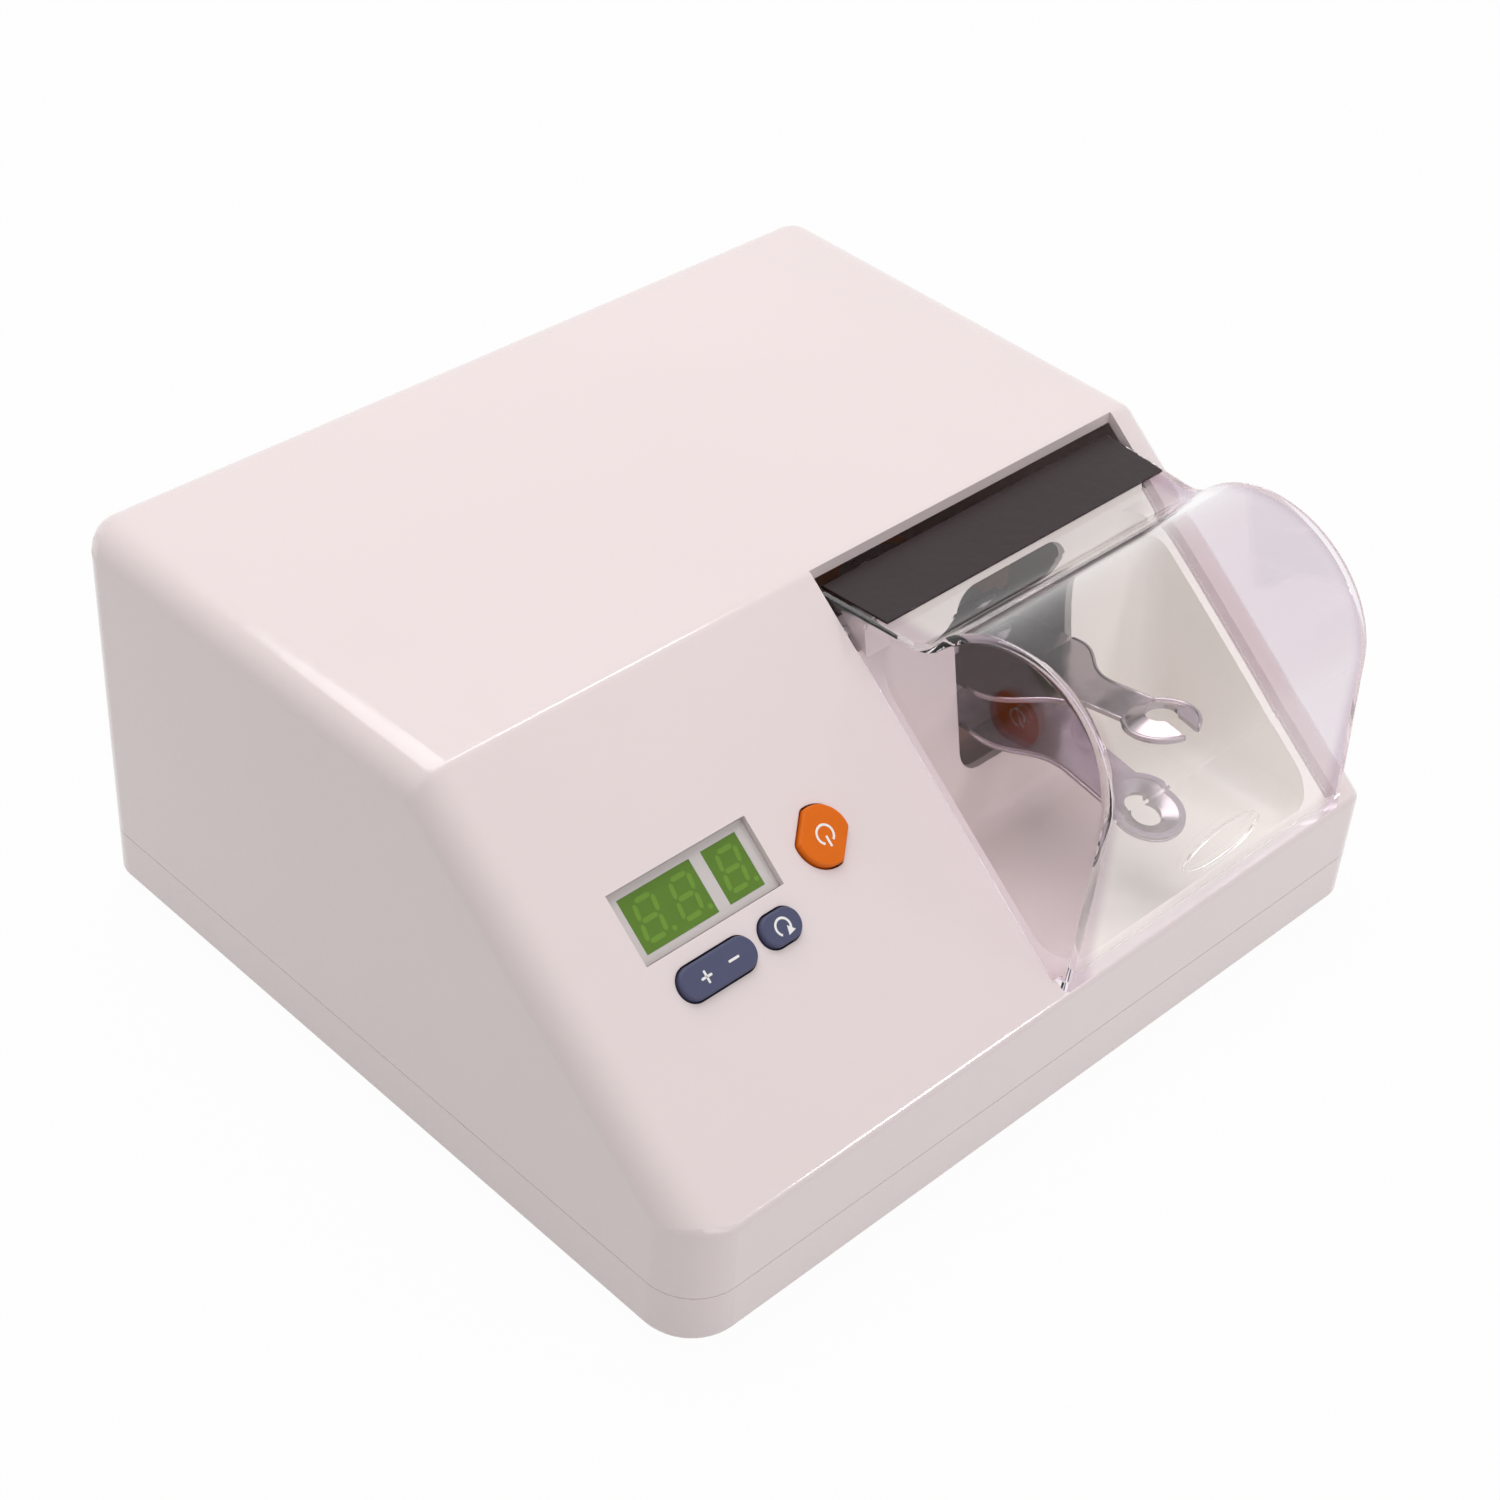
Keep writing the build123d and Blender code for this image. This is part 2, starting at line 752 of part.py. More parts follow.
def tub_form(inset, high_z):
    """The tub between its front wall and its leaning back wall, grown outward by -inset."""
    low_z = tub_floor_z + inset
    lean = inset / cos(back_wall_lean * pi / 180)
    with BuildPart() as form:
        with BuildSketch(Plane.YZ.offset(tub_left + inset)):
            with BuildLine():
                Polyline(
                    (tub_front_y + inset, high_z),
                    (tub_front_y + inset, low_z),
                    (back_wall_at(low_z) - lean, low_z),
                    (back_wall_at(high_z) - lean, high_z),
                    close=True,
                )
            make_face()
        extrude(amount=tub_width - 2 * inset)
        rounded = form.edges().filter_by(lambda e: e.center().Z < high_z - 1)
        fillet(rounded, tub_fillet - inset)
    return form.part


with BuildPart() as chamber_liner:
    # shell of the tub, cut off under the sloping panel
    add(tub_form(-liner_wall, back_wall_top_z))
    with BuildSketch(panel.offset(-flange_depth)):
        with Locations((chamber_x, flange_rear / 2)):
            Rectangle(window_width * 2, flange_rear * 2)
    extrude(amount=case_height, mode=Mode.SUBTRACT)

    # flange that lies against the underside of the panel
    with BuildSketch(panel.offset(-flange_depth)):
        with BuildLine():
            Polyline(
                (window_left - liner_flange_overlap, flange_front),
                (window_right + liner_right_overlap, flange_front),
                (window_right + liner_right_overlap, flange_rear),
                (window_left - liner_flange_overlap, flange_rear),
                close=True,
            )
        make_face()
        with Locations(*[(liner_screw_x, up) for up in liner_screw_ups]):
            Circle(liner_screw_diameter / 2 + fit_clear, mode=Mode.SUBTRACT)
    extrude(amount=-liner_flange)

    # upper stretch of the back wall, between the side plates of the cover
    with BuildSketch(Plane.YZ.offset(tub_left - ledge_width + back_wall_side_clear)):
        with BuildLine():
            Polyline(
                (back_wall_at(tub_floor_z + tub_fillet), tub_floor_z + tub_fillet),
                (back_wall_at(tub_floor_z + tub_fillet) + liner_wall, tub_floor_z + tub_fillet),
                (back_wall_at(back_wall_top_z) + liner_wall, back_wall_top_z),
                (back_wall_at(back_wall_top_z), back_wall_top_z),
                close=True,
            )
        make_face()
    extrude(amount=window_width - 2 * back_wall_side_clear)

    # hinge lugs behind the back wall
    for side in (-1, 1):
        with BuildSketch(Plane.YZ.offset(chamber_x + side * lug_x - lug_thickness / 2)):
            with Locations((hinge_y, hinge_z)):
                Circle(lug_radius)
            with BuildLine():
                Polyline(
                    (back_wall_at(hinge_z) + liner_wall / 2, hinge_z + lug_radius),
                    (hinge_y, hinge_z + lug_radius),
                    (hinge_y, hinge_z - lug_radius),
                    (back_wall_at(hinge_z - 3 * lug_radius) + liner_wall / 2, hinge_z - 3 * lug_radius),
                    close=True,
                )
            make_face()
            with Locations((hinge_y, hinge_z)):
                Circle(hinge_pin_diameter / 2, mode=Mode.SUBTRACT)
        extrude(amount=lug_thickness)

    # hollow of the tub, and the slot that the fork reaches through
    add(tub_form(0, top_z + cut_reach), mode=Mode.SUBTRACT)
    with BuildSketch(slot_plane):
        RectangleRounded(slot_width, (slot_high_z - slot_low_z) / cos(back_wall_lean * pi / 180), slot_corner)
    extrude(amount=2 * liner_wall, both=True, mode=Mode.SUBTRACT)
chamber_liner.part.label = "chamber_liner"
export_step(chamber_liner.part, "parts/chamber_liner.step")

with BuildPart() as liner_screws:
    for up in liner_screw_ups:
        y, z = panel_point(up, flange_depth + liner_flange)
        underside = Plane(origin=(liner_screw_x, y, z), x_dir=(1, 0, 0), z_dir=(0, sin(slope), -cos(slope)))
        add(screw(underside, liner_screw_diameter, liner_flange + liner_screw_bite,
                  liner_screw_head, case_screw_head_height))
liner_screws.part.label = "liner_screws"
export_step(liner_screws.part, "parts/liner_screws.step")

lid_switch_rise = (top_z - lid_switch_drop - slot_mid_z) / cos(back_wall_lean * pi / 180)
with BuildPart() as lid_switch:
    with BuildSketch(slot_plane.offset(-liner_wall)):
        with Locations((-lid_switch_offset, lid_switch_rise)):
            Rectangle(lid_switch_width, lid_switch_height)
    extrude(amount=-lid_switch_depth)
    with BuildSketch(slot_plane.offset(-liner_wall - lid_switch_depth * 0.4)):
        with Locations((-lid_switch_offset + lid_switch_width / 4, lid_switch_rise + lid_switch_height / 2)):
            Rectangle(lid_plunger_width, 2 * lid_plunger_width)
    extrude(amount=-lid_plunger_width)
lid_switch.part.label = "lid_switch"
export_step(lid_switch.part, "parts/lid_switch.step")

# ---------------------------------------------------------------- clear cover and hinge
hood_flat_z = top_z - hood_flat_drop
hump_z = panel_z(hood_hump_y) + hood_hump_rise
hood_seat = flange_depth - hood_seat_clear
hood_low_z = crease_z - 2 * cut_reach
across = Plane(origin=panel.origin, x_dir=(1, 0, 0), z_dir=(0, -cos(slope), -sin(slope)))


def hood_side(y, z, inset=0.0):
    """X of the drafted left face of the cover at (y, z)."""
    rise = (z - panel_z(y)) * cos(slope)
    return window_left + hood_side_clear + inset + hood_draft * rise


def hood_form(inset):
    """Closed form of the clear cover, drawn in by inset, running down past the panel."""
    radius = hood_hump_radius - inset
    flat_z = hood_flat_z - inset
    meet_y = hood_hump_y + sqrt(radius**2 - (flat_z - hump_z) ** 2)
    low, high = -2 * case_height, case_height
    left = window_left + hood_side_clear + inset
    right = window_right - hood_side_clear - inset
    with BuildPart() as form:
        with BuildSketch(Plane.YZ.offset(-case_width)) as side:
            with BuildLine():
                Polyline((hood_hump_y - radius, hump_z), (hood_hump_y - radius, hood_low_z),
                         (hood_rear_y, hood_low_z), (hood_rear_y, flat_z), (meet_y, flat_z))
                ThreePointArc((meet_y, flat_z), (hood_hump_y, hump_z + radius),
                              (hood_hump_y - radius, hump_z))
            make_face()
            fillet(side.vertices().sort_by_distance((meet_y, flat_z))[0], hood_dip_radius + inset)
        extrude(amount=2 * case_width)
        with BuildSketch(across):
            with BuildLine():
                Polyline(
                    (left + hood_draft * low, low),
                    (right - hood_draft * low, low),
                    (right - hood_draft * high, high),
                    (left + hood_draft * high, high),
                    close=True,
                )
            make_face()
        extrude(amount=2 * case_depth, both=True, mode=Mode.INTERSECT)
        if inset == 0:
            rims = form.faces().sort_by(Axis.X)[0].edges() + form.faces().sort_by(Axis.X)[-1].edges()
            fillet(rims.filter_by(lambda e: e.center().Z > crease_z and e.center().Y < hood_rear_y - 1
                                  or e.center().Y < front_y + 1), hood_edge_radius)
    return form.part


with BuildPart() as hood_cover:
    add(hood_form(0))
    add(hood_form(hood_wall), mode=Mode.SUBTRACT)

    # trimmed along the panel, with a rounded ear at each hinge pin
    with BuildSketch(Plane.YZ):
        with BuildLine():
            Polyline(
                panel_point(-cut_reach, -hood_seat_clear),
                panel_point(window_front + 2 * hood_seat_clear, -hood_seat_clear),
                panel_point(window_front + 2 * hood_seat_clear, hood_seat),
                (hinge_y - hinge_ear_radius / 2, panel_z(hinge_y - hinge_ear_radius / 2, hood_seat)),
                (hinge_y, hinge_z),
                (hood_rear_y + 1, hinge_z + hinge_ear_radius / 2),
                (hood_rear_y + 1, top_z + case_height),
                (front_y - cut_reach, top_z + case_height),
                close=True,
            )
        make_face()
        with Locations((hinge_y, hinge_z)):
            Circle(hinge_ear_radius)
    extrude(amount=case_width, mode=Mode.INTERSECT)
    with BuildSketch(Plane.YZ):
        with Locations((hinge_y, hinge_z)):
            Circle(hinge_pin_diameter / 2 + running_clear)
    extrude(amount=case_width, mode=Mode.SUBTRACT)

    # raised oval that shows where to lift
    with BuildSketch(Plane.XZ.offset(-hood_hump_y + hood_hump_radius)):
        with Locations((chamber_x, crease_z + grip_centre_rise)):
            Ellipse(grip_width / 2, grip_height / 2)
            Ellipse(grip_width / 2 - 2 * grip_ridge, grip_height / 2 - 2 * grip_ridge, mode=Mode.SUBTRACT)
    extrude(amount=grip_ridge)
hood_cover.part.label = "hood_cover"
export_step(hood_cover.part, "parts/hood_cover.step")

strip_rear_y = hood_rear_y - hood_seat_clear
strip_front_y = strip_rear_y - strip_depth
with BuildPart() as hood_strip:
    with BuildSketch(Plane.XY.offset(hood_flat_z)):
        with BuildLine():
            Polyline(
                (hood_side(strip_rear_y, hood_flat_z, strip_side_margin), strip_rear_y),
                (hood_side(strip_front_y, hood_flat_z, strip_side_margin), strip_front_y),
                (2 * chamber_x - hood_side(strip_front_y, hood_flat_z, strip_side_margin), strip_front_y),
                (2 * chamber_x - hood_side(strip_rear_y, hood_flat_z, strip_side_margin), strip_rear_y),
                close=True,
            )
        make_face()
    extrude(amount=strip_thickness)
hood_strip.part.label = "hood_strip"
export_step(hood_strip.part, "parts/hood_strip.step")

pin_inner = lug_x - lug_thickness / 2 - running_clear
pin_outer = window_width / 2 - hood_seat_clear
with BuildPart() as hinge_pins:
    for start in (chamber_x - pin_outer, chamber_x + pin_inner):
        with BuildSketch(Plane.YZ.offset(start)):
            with Locations((hinge_y, hinge_z)):
                Circle(hinge_pin_diameter / 2)
        extrude(amount=pin_outer - pin_inner)
hinge_pins.part.label = "hinge_pins"
export_step(hinge_pins.part, "parts/hinge_pins.step")

# ---------------------------------------------------------------- display
glass_depth = fit_clear
bezel_depth = glass_depth + display_glass + fit_clear / 2
module_face = bezel_depth + fit_clear / 2
modules = ((two_digit_x, two_digit_width), (one_digit_x, one_digit_width))

with BuildPart() as display_window:
    with BuildSketch(panel.offset(-glass_depth)):
        with Locations((display_x, display_up)):
            Rectangle(display_width - 2 * fit_clear, display_height - 2 * fit_clear)
    extrude(amount=-display_glass)
display_window.part.label = "display_window"
export_step(display_window.part, "parts/display_window.step")

with BuildPart() as display_bezel:
    with BuildSketch(panel.offset(-bezel_depth)):
        with Locations((display_x, display_up)):
            Rectangle(display_width - 2 * fit_clear, display_height - 2 * fit_clear)
    extrude(amount=-(case_wall + fit_clear - bezel_depth))
    with BuildSketch(panel.offset(-case_wall - fit_clear)):
        with Locations((display_x, display_up)):
            Rectangle(display_width + 2 * bezel_flange, display_height + 2 * bezel_flange)
    extrude(amount=-bezel_thickness)
    with BuildSketch(panel):
        for x, width in modules:
            with Locations((x, display_up)):
                Rectangle(width + fit_clear, module_height + fit_clear)
    extrude(amount=-board_depth, mode=Mode.SUBTRACT)
display_bezel.part.label = "display_bezel"
export_step(display_bezel.part, "parts/display_bezel.step")

with BuildPart() as two_digit_display:
    with BuildSketch(panel.offset(-module_face)):
        with Locations((two_digit_x, display_up)):
            Rectangle(two_digit_width, module_height)
    extrude(amount=-(board_depth - module_face))
two_digit_display.part.label = "two_digit_display"
export_step(two_digit_display.part, "parts/two_digit_display.step")

with BuildPart() as one_digit_display:
    with BuildSketch(panel.offset(-module_face)):
        with Locations((one_digit_x, display_up)):
            Rectangle(one_digit_width, module_height)
    extrude(amount=-(board_depth - module_face))
one_digit_display.part.label = "one_digit_display"
export_step(one_digit_display.part, "parts/one_digit_display.step")

# ---------------------------------------------------------------- keys and control board
flange_top = case_wall + key_seat_gap
flange_bottom = flange_top + key_flange_thickness
stem_bottom = board_depth - switch_height - plunger_height - key_travel - 2 * fit_clear


def key_form(key, stems):
    """A key cap with its hidden flange and the stems that press the switches."""
    with BuildPart() as form:
        with BuildSketch(panel.offset(-flange_bottom)):
            add(key_outline(key, 0))
        extrude(amount=flange_bottom + key_rise)
        fillet(form.faces().sort_by(Axis((0, 0, 0), tuple(panel.z_dir)))[-1].edges(), key_edge_round)
        with BuildSketch(panel.offset(-flange_bottom)):
            add(key_outline(key, key_flange))
        extrude(amount=key_flange_thickness)
        with BuildSketch(panel.offset(-flange_bottom)):
            with Locations(*stems):
                Circle(key_stem / 2)
        extrude(amount=-(stem_bottom - flange_bottom))
    return form.part


time_stems = ((time_x - time_stem_reach, time_up), (time_x + time_stem_reach, time_up))
with BuildPart() as start_key:
    add(key_form("start", ((start_x, start_up),)))
start_key.part.label = "start_key"
export_step(start_key.part, "parts/start_key.step")

with BuildPart() as time_key:
    add(key_form("time", time_stems))
time_key.part.label = "time_key"
export_step(time_key.part, "parts/time_key.step")

with BuildPart() as speed_key:
    add(key_form("speed", ((speed_x, speed_up),)))
speed_key.part.label = "speed_key"
export_step(speed_key.part, "parts/speed_key.step")

switch_places = (
    (start_x, start_up),
    (speed_x, speed_up),
    *time_stems,
)
with BuildPart() as key_switches:
    with BuildSketch(panel.offset(-board_depth)):
        with Locations(*switch_places):
            Rectangle(switch_size, switch_size)
    extrude(amount=switch_height)
    with BuildSketch(panel.offset(-board_depth + switch_height)):
        with Locations(*switch_places):
            Circle(plunger_diameter / 2)
    extrude(amount=plunger_height)
key_switches.part.label = "key_switches"
export_step(key_switches.part, "parts/key_switches.step")

with BuildPart() as control_board:
    with BuildSketch(panel.offset(-board_depth)):
        with Locations(board_middle):
            Rectangle(board_width, board_high - board_low)
            with GridLocations(*board_holes, 2, 2):
                Circle(board_screw_diameter / 2 + fit_clear, mode=Mode.SUBTRACT)
    extrude(amount=-board_thickness)
control_board.part.label = "control_board"
export_step(control_board.part, "parts/control_board.step")

with BuildPart() as board_screws:
    low_face = panel.offset(-board_depth - board_thickness)
    middle = low_face.from_local_coords((board_middle[0], board_middle[1], 0))
    underside = Plane(origin=middle, x_dir=(1, 0, 0), z_dir=(0, sin(slope), -cos(slope)))
    board_screw = screw(Plane.XY, board_screw_diameter, board_thickness + board_screw_bite,
                        board_screw_head, case_screw_head_height)
    with Locations(underside):
        with GridLocations(*board_holes, 2, 2):
            add(board_screw)
board_screws.part.label = "board_screws"
export_step(board_screws.part, "parts/board_screws.step")

# ---------------------------------------------------------------- motor
drive = (chamber_x, shaft_y)
motor_low_z = deck_z - motor_length
cap_low_z = motor_low_z - motor_cap_height
low_bush_z = cap_low_z + bush_floor
high_bush_z = deck_z + bush_proud - bush_length
armature_z = motor_low_z + armature_low - motor_cap_height
can_inner = motor_diameter / 2 - motor_wall


def tube(low_z, height, outer, inner):
    """An upright tube, or a plain cylinder where inner is 0, on the axis of the motor."""
    with BuildPart() as form:
        with BuildSketch(Plane.XY.offset(low_z)):
            with Locations(drive):
                Circle(outer)
                if inner > 0:
                    Circle(inner, mode=Mode.SUBTRACT)
        extrude(amount=height)
    return form.part


with BuildPart() as motor_can:
    add(tube(motor_low_z, motor_length, motor_diameter / 2, 0))
    add(tube(motor_low_z, motor_length - motor_wall, can_inner, 0), mode=Mode.SUBTRACT)
    add(tube(motor_low_z, 2 * motor_length, bush_diameter / 2, 0), mode=Mode.SUBTRACT)
    with BuildSketch(Plane.XY.offset(deck_z)):
        with Locations(drive):
            with PolarLocations(motor_screw_circle / 2, 4, start_angle=45):
                Circle(motor_screw_diameter / 2)
    extrude(amount=-motor_wall, mode=Mode.SUBTRACT)
motor_can.part.label = "motor_can"
export_step(motor_can.part, "parts/motor_can.step")

with BuildPart() as motor_end_cap:
    add(tube(cap_low_z, motor_cap_height, motor_diameter / 2, 0))
    fillet(motor_end_cap.faces().sort_by(Axis.Z)[0].edges(), bush_floor)
    add(tube(low_bush_z, motor_cap_height, bush_diameter / 2, 0), mode=Mode.SUBTRACT)
motor_end_cap.part.label = "motor_end_cap"
export_step(motor_end_cap.part, "parts/motor_end_cap.step")

with BuildPart() as motor_bushes:
    for bush_z in (low_bush_z, high_bush_z):
        add(tube(bush_z, bush_length, bush_diameter / 2, shaft_diameter / 2 + running_clear))
motor_bushes.part.label = "motor_bushes"
export_step(motor_bushes.part, "parts/motor_bushes.step")

with BuildPart() as motor_magnets:
    with BuildSketch(Plane.XY.offset(motor_low_z + motor_wall)):
        for middle in (0, 180):
            with BuildLine():
                outer = CenterArc(drive, can_inner, middle - magnet_arc / 2, magnet_arc)
                inner = CenterArc(drive, can_inner - magnet_thickness, middle - magnet_arc / 2, magnet_arc)
                Line(outer @ 0, inner @ 0)
                Line(outer @ 1, inner @ 1)
            make_face()
    extrude(amount=magnet_length)
motor_magnets.part.label = "motor_magnets"
export_step(motor_magnets.part, "parts/motor_magnets.step")

with BuildPart() as motor_brushes:
    with BuildSketch(Plane.XY.offset(motor_low_z + commutator_low - brush_size / 4)):
        with Locations(drive):
            reach = can_inner - commutator_diameter / 2 - 2 * hood_seat_clear
            with PolarLocations(commutator_diameter / 2 + hood_seat_clear + reach / 2, 2):
                Rectangle(reach, brush_size)
    extrude(amount=brush_size)
motor_brushes.part.label = "motor_brushes"
export_step(motor_brushes.part, "parts/motor_brushes.step")

with BuildPart() as motor_shaft:
    add(tube(low_bush_z + hood_seat_clear, base_z + shaft_top_height - low_bush_z - hood_seat_clear,
             shaft_diameter / 2, 0))
    chamfer(motor_shaft.faces().sort_by(Axis.Z)[-1].edges(), bush_proud)
motor_shaft.part.label = "motor_shaft"
export_step(motor_shaft.part, "parts/motor_shaft.step")

with BuildPart() as armature:
    add(tube(armature_z, armature_length, armature_diameter / 2, shaft_diameter / 2 + running_clear))
    with BuildSketch(Plane.XY.offset(armature_z)):
        with Locations(drive):
            with PolarLocations(armature_diameter / 2, armature_slots):
                Rectangle(2 * armature_slot_depth, armature_slot_width)
    extrude(amount=armature_length, mode=Mode.SUBTRACT)
armature.part.label = "armature"
export_step(armature.part, "parts/armature.step")

with BuildPart() as commutator:
    add(tube(motor_low_z + commutator_low - commutator_length / 2, commutator_length,
             commutator_diameter / 2, shaft_diameter / 2 + running_clear))
commutator.part.label = "commutator"
export_step(commutator.part, "parts/commutator.step")

with BuildPart() as skewed_hub:
    skew = hub_skew * pi / 180
    hub_plane = Plane(origin=(chamber_x, shaft_y, fork_z), x_dir=(cos(skew), 0, -sin(skew)),
                      z_dir=(sin(skew), 0, cos(skew)))
    with BuildSketch(hub_plane):
        Circle(hub_diameter / 2)
    extrude(amount=hub_length / 2, both=True)
    add(tube(fork_z - hub_length, 2 * hub_length, shaft_diameter / 2 + running_clear, 0), mode=Mode.SUBTRACT)
skewed_hub.part.label = "skewed_hub"
export_step(skewed_hub.part, "parts/skewed_hub.step")

with BuildPart() as hub_nut:
    with BuildSketch(Plane.XY.offset(fork_z + hub_length / 2 + 2 * hood_seat_clear)):
        with Locations(drive):
            RegularPolygon(hub_nut_size / 2, 6, major_radius=False)
            Circle(shaft_diameter / 2 + running_clear, mode=Mode.SUBTRACT)
    extrude(amount=hub_nut_height)
hub_nut.part.label = "hub_nut"
export_step(hub_nut.part, "parts/hub_nut.step")

# ---------------------------------------------------------------- rocking fork
with BuildPart() as drive_bearing:
    add(tube(fork_z - bearing_height / 2, bearing_height, bearing_outer / 2,
             hub_diameter / 2 + bearing_clear))
drive_bearing.part.label = "drive_bearing"
export_step(drive_bearing.part, "parts/drive_bearing.step")

block_low_z = fork_z - carrier_block_height / 2
with BuildPart() as fork_carrier:
    add(tube(fork_z - carrier_height / 2, carrier_height, carrier_diameter / 2, 0))
    with BuildSketch(Plane.XY.offset(block_low_z)):
        with Locations((chamber_x, (shaft_y + carrier_block_front) / 2)):
            Rectangle(carrier_block_width, shaft_y - carrier_block_front)
    extrude(amount=carrier_block_height)
    with BuildSketch(Plane.YZ.offset(chamber_x)):
        with Locations((shaft_y, fork_z)):
            Circle(ear_diameter / 2)
    extrude(amount=ear_reach, both=True)
    add(tube(fork_z - carrier_height, 2 * carrier_height, carrier_lip_hole / 2, 0), mode=Mode.SUBTRACT)
    add(tube(fork_z - bearing_height / 2, carrier_height, bearing_outer / 2 + running_clear, 0),
        mode=Mode.SUBTRACT)
    with BuildSketch(Plane.XY.offset(block_low_z)):
        with Locations((chamber_x, fork_screw_y)):
            with GridLocations(fork_screw_spacing, 1, 2, 1):
                Circle(fork_screw_diameter / 2)
    extrude(amount=carrier_block_height, mode=Mode.SUBTRACT)
fork_carrier.part.label = "fork_carrier"
export_step(fork_carrier.part, "parts/fork_carrier.step")

spread = arm_spread * pi / 180
neck_run = (arm_bend_y - arm_neck_y) / cos(spread)
ring_run = (arm_bend_y - ring_y) / cos(spread)
ring_lip = ring_diameter / 2 - ring_dish


def arm_form(side):
    """One arm of the fork, above (1) or below (-1): flat root, bend, neck and dished ring."""
    root_z = fork_z + side * carrier_block_height / 2
    outward = Vector(0, sin(spread), side * cos(spread))
    bend = Plane(origin=(chamber_x, arm_bend_y, root_z), x_dir=(1, 0, 0), z_dir=outward)
    ring_centre = bend.from_local_coords((0, -side * ring_run, 0))
    across_ring = Plane(origin=ring_centre, x_dir=(1, 0, 0), z_dir=Vector(1, 0, 0).cross(outward))
    half = arm_root_width / 2
    neck = arm_neck_width / 2
    with BuildPart() as form:
        with BuildSketch(Plane.XY.offset(root_z)):
            with Locations((chamber_x, (arm_root_back + arm_bend_y) / 2)):
                Rectangle(arm_root_width, arm_root_back - arm_bend_y)
            with Locations((chamber_x, fork_screw_y)):
                with GridLocations(fork_screw_spacing, 1, 2, 1):
                    Circle(fork_screw_diameter / 2 + fit_clear, mode=Mode.SUBTRACT)
        extrude(amount=side * arm_thickness)
        with BuildSketch(bend):
            with BuildLine():
                Bezier((-half, 0), (-half, -side * neck_run / 2), (-neck, -side * neck_run / 2),
                       (-neck, -side * neck_run))
                Line((-neck, -side * neck_run), (-neck, -side * ring_run))
                Line((-neck, -side * ring_run), (neck, -side * ring_run))
                Line((neck, -side * ring_run), (neck, -side * neck_run))
                Bezier((neck, -side * neck_run), (neck, -side * neck_run / 2),
                       (half, -side * neck_run / 2), (half, 0))
                Line((half, 0), (-half, 0))
            make_face()
            with Locations((0, -side * ring_run)):
                Circle(ring_diameter / 2)
                Circle(ring_lip, mode=Mode.SUBTRACT)
        extrude(amount=arm_thickness)
        with BuildSketch(across_ring):
            with BuildLine():
                Polyline(
                    (ring_lip + arm_thickness / 2, 0),
                    (ring_hole / 2, ring_dish),
                    (ring_hole / 2, ring_dish + arm_thickness),
                    (ring_lip + arm_thickness / 2, arm_thickness),
                    close=True,
                )
            make_face()
        revolve(axis=Axis(tuple(ring_centre), tuple(outward)))
    return form.part


with BuildPart() as fork_upper_arm:
    add(arm_form(1))
    with BuildSketch(Plane.XY.offset(fork_z)):
        with Locations((chamber_x, ring_y - ring_diameter / 2)):
            Rectangle(ring_slot, ring_diameter)
    extrude(amount=case_height, mode=Mode.SUBTRACT)
fork_upper_arm.part.label = "fork_upper_arm"
export_step(fork_upper_arm.part, "parts/fork_upper_arm.step")

with BuildPart() as fork_lower_arm:
    add(arm_form(-1))
fork_lower_arm.part.label = "fork_lower_arm"
export_step(fork_lower_arm.part, "parts/fork_lower_arm.step")

with BuildPart() as fork_screws:
    for side in (-1, 1):
        for offset in (-fork_screw_spacing / 2, fork_screw_spacing / 2):
            seat = Plane(
                origin=(chamber_x + offset, fork_screw_y,
                        fork_z + side * (carrier_block_height / 2 + arm_thickness)),
                x_dir=(1, 0, 0),
                z_dir=(0, 0, side),
            )
            add(screw(seat, fork_screw_diameter, fork_screw_length, fork_screw_head, fork_screw_head_height))
fork_screws.part.label = "fork_screws"
export_step(fork_screws.part, "parts/fork_screws.step")

with BuildPart() as restraint_springs:
    for side in (-1, 1):
        start = chamber_x + side * (ear_reach + spring_gap + spring_wire / 2)
        with BuildLine() as coil:
            turns = Helix((spring_length - spring_wire) / spring_turns, spring_length - spring_wire,
                          (spring_diameter - spring_wire) / 2, center=(start, shaft_y, fork_z),
                          direction=(side, 0, 0))
        with BuildSketch(Plane(origin=turns @ 0, z_dir=turns % 0)):
            Circle(spring_wire / 2)
        sweep(path=coil.line, is_frenet=True)
restraint_springs.part.label = "restraint_springs"
export_step(restraint_springs.part, "parts/restraint_springs.step")

# ---------------------------------------------------------------- drive frame and its mounts
frame_foot_z = tray_floor_z + mount_height
deck_top_z = deck_z + frame_thickness
hanger_x = ear_reach + 2 * spring_gap + spring_length
frame_length = frame_back_y - frame_front_y

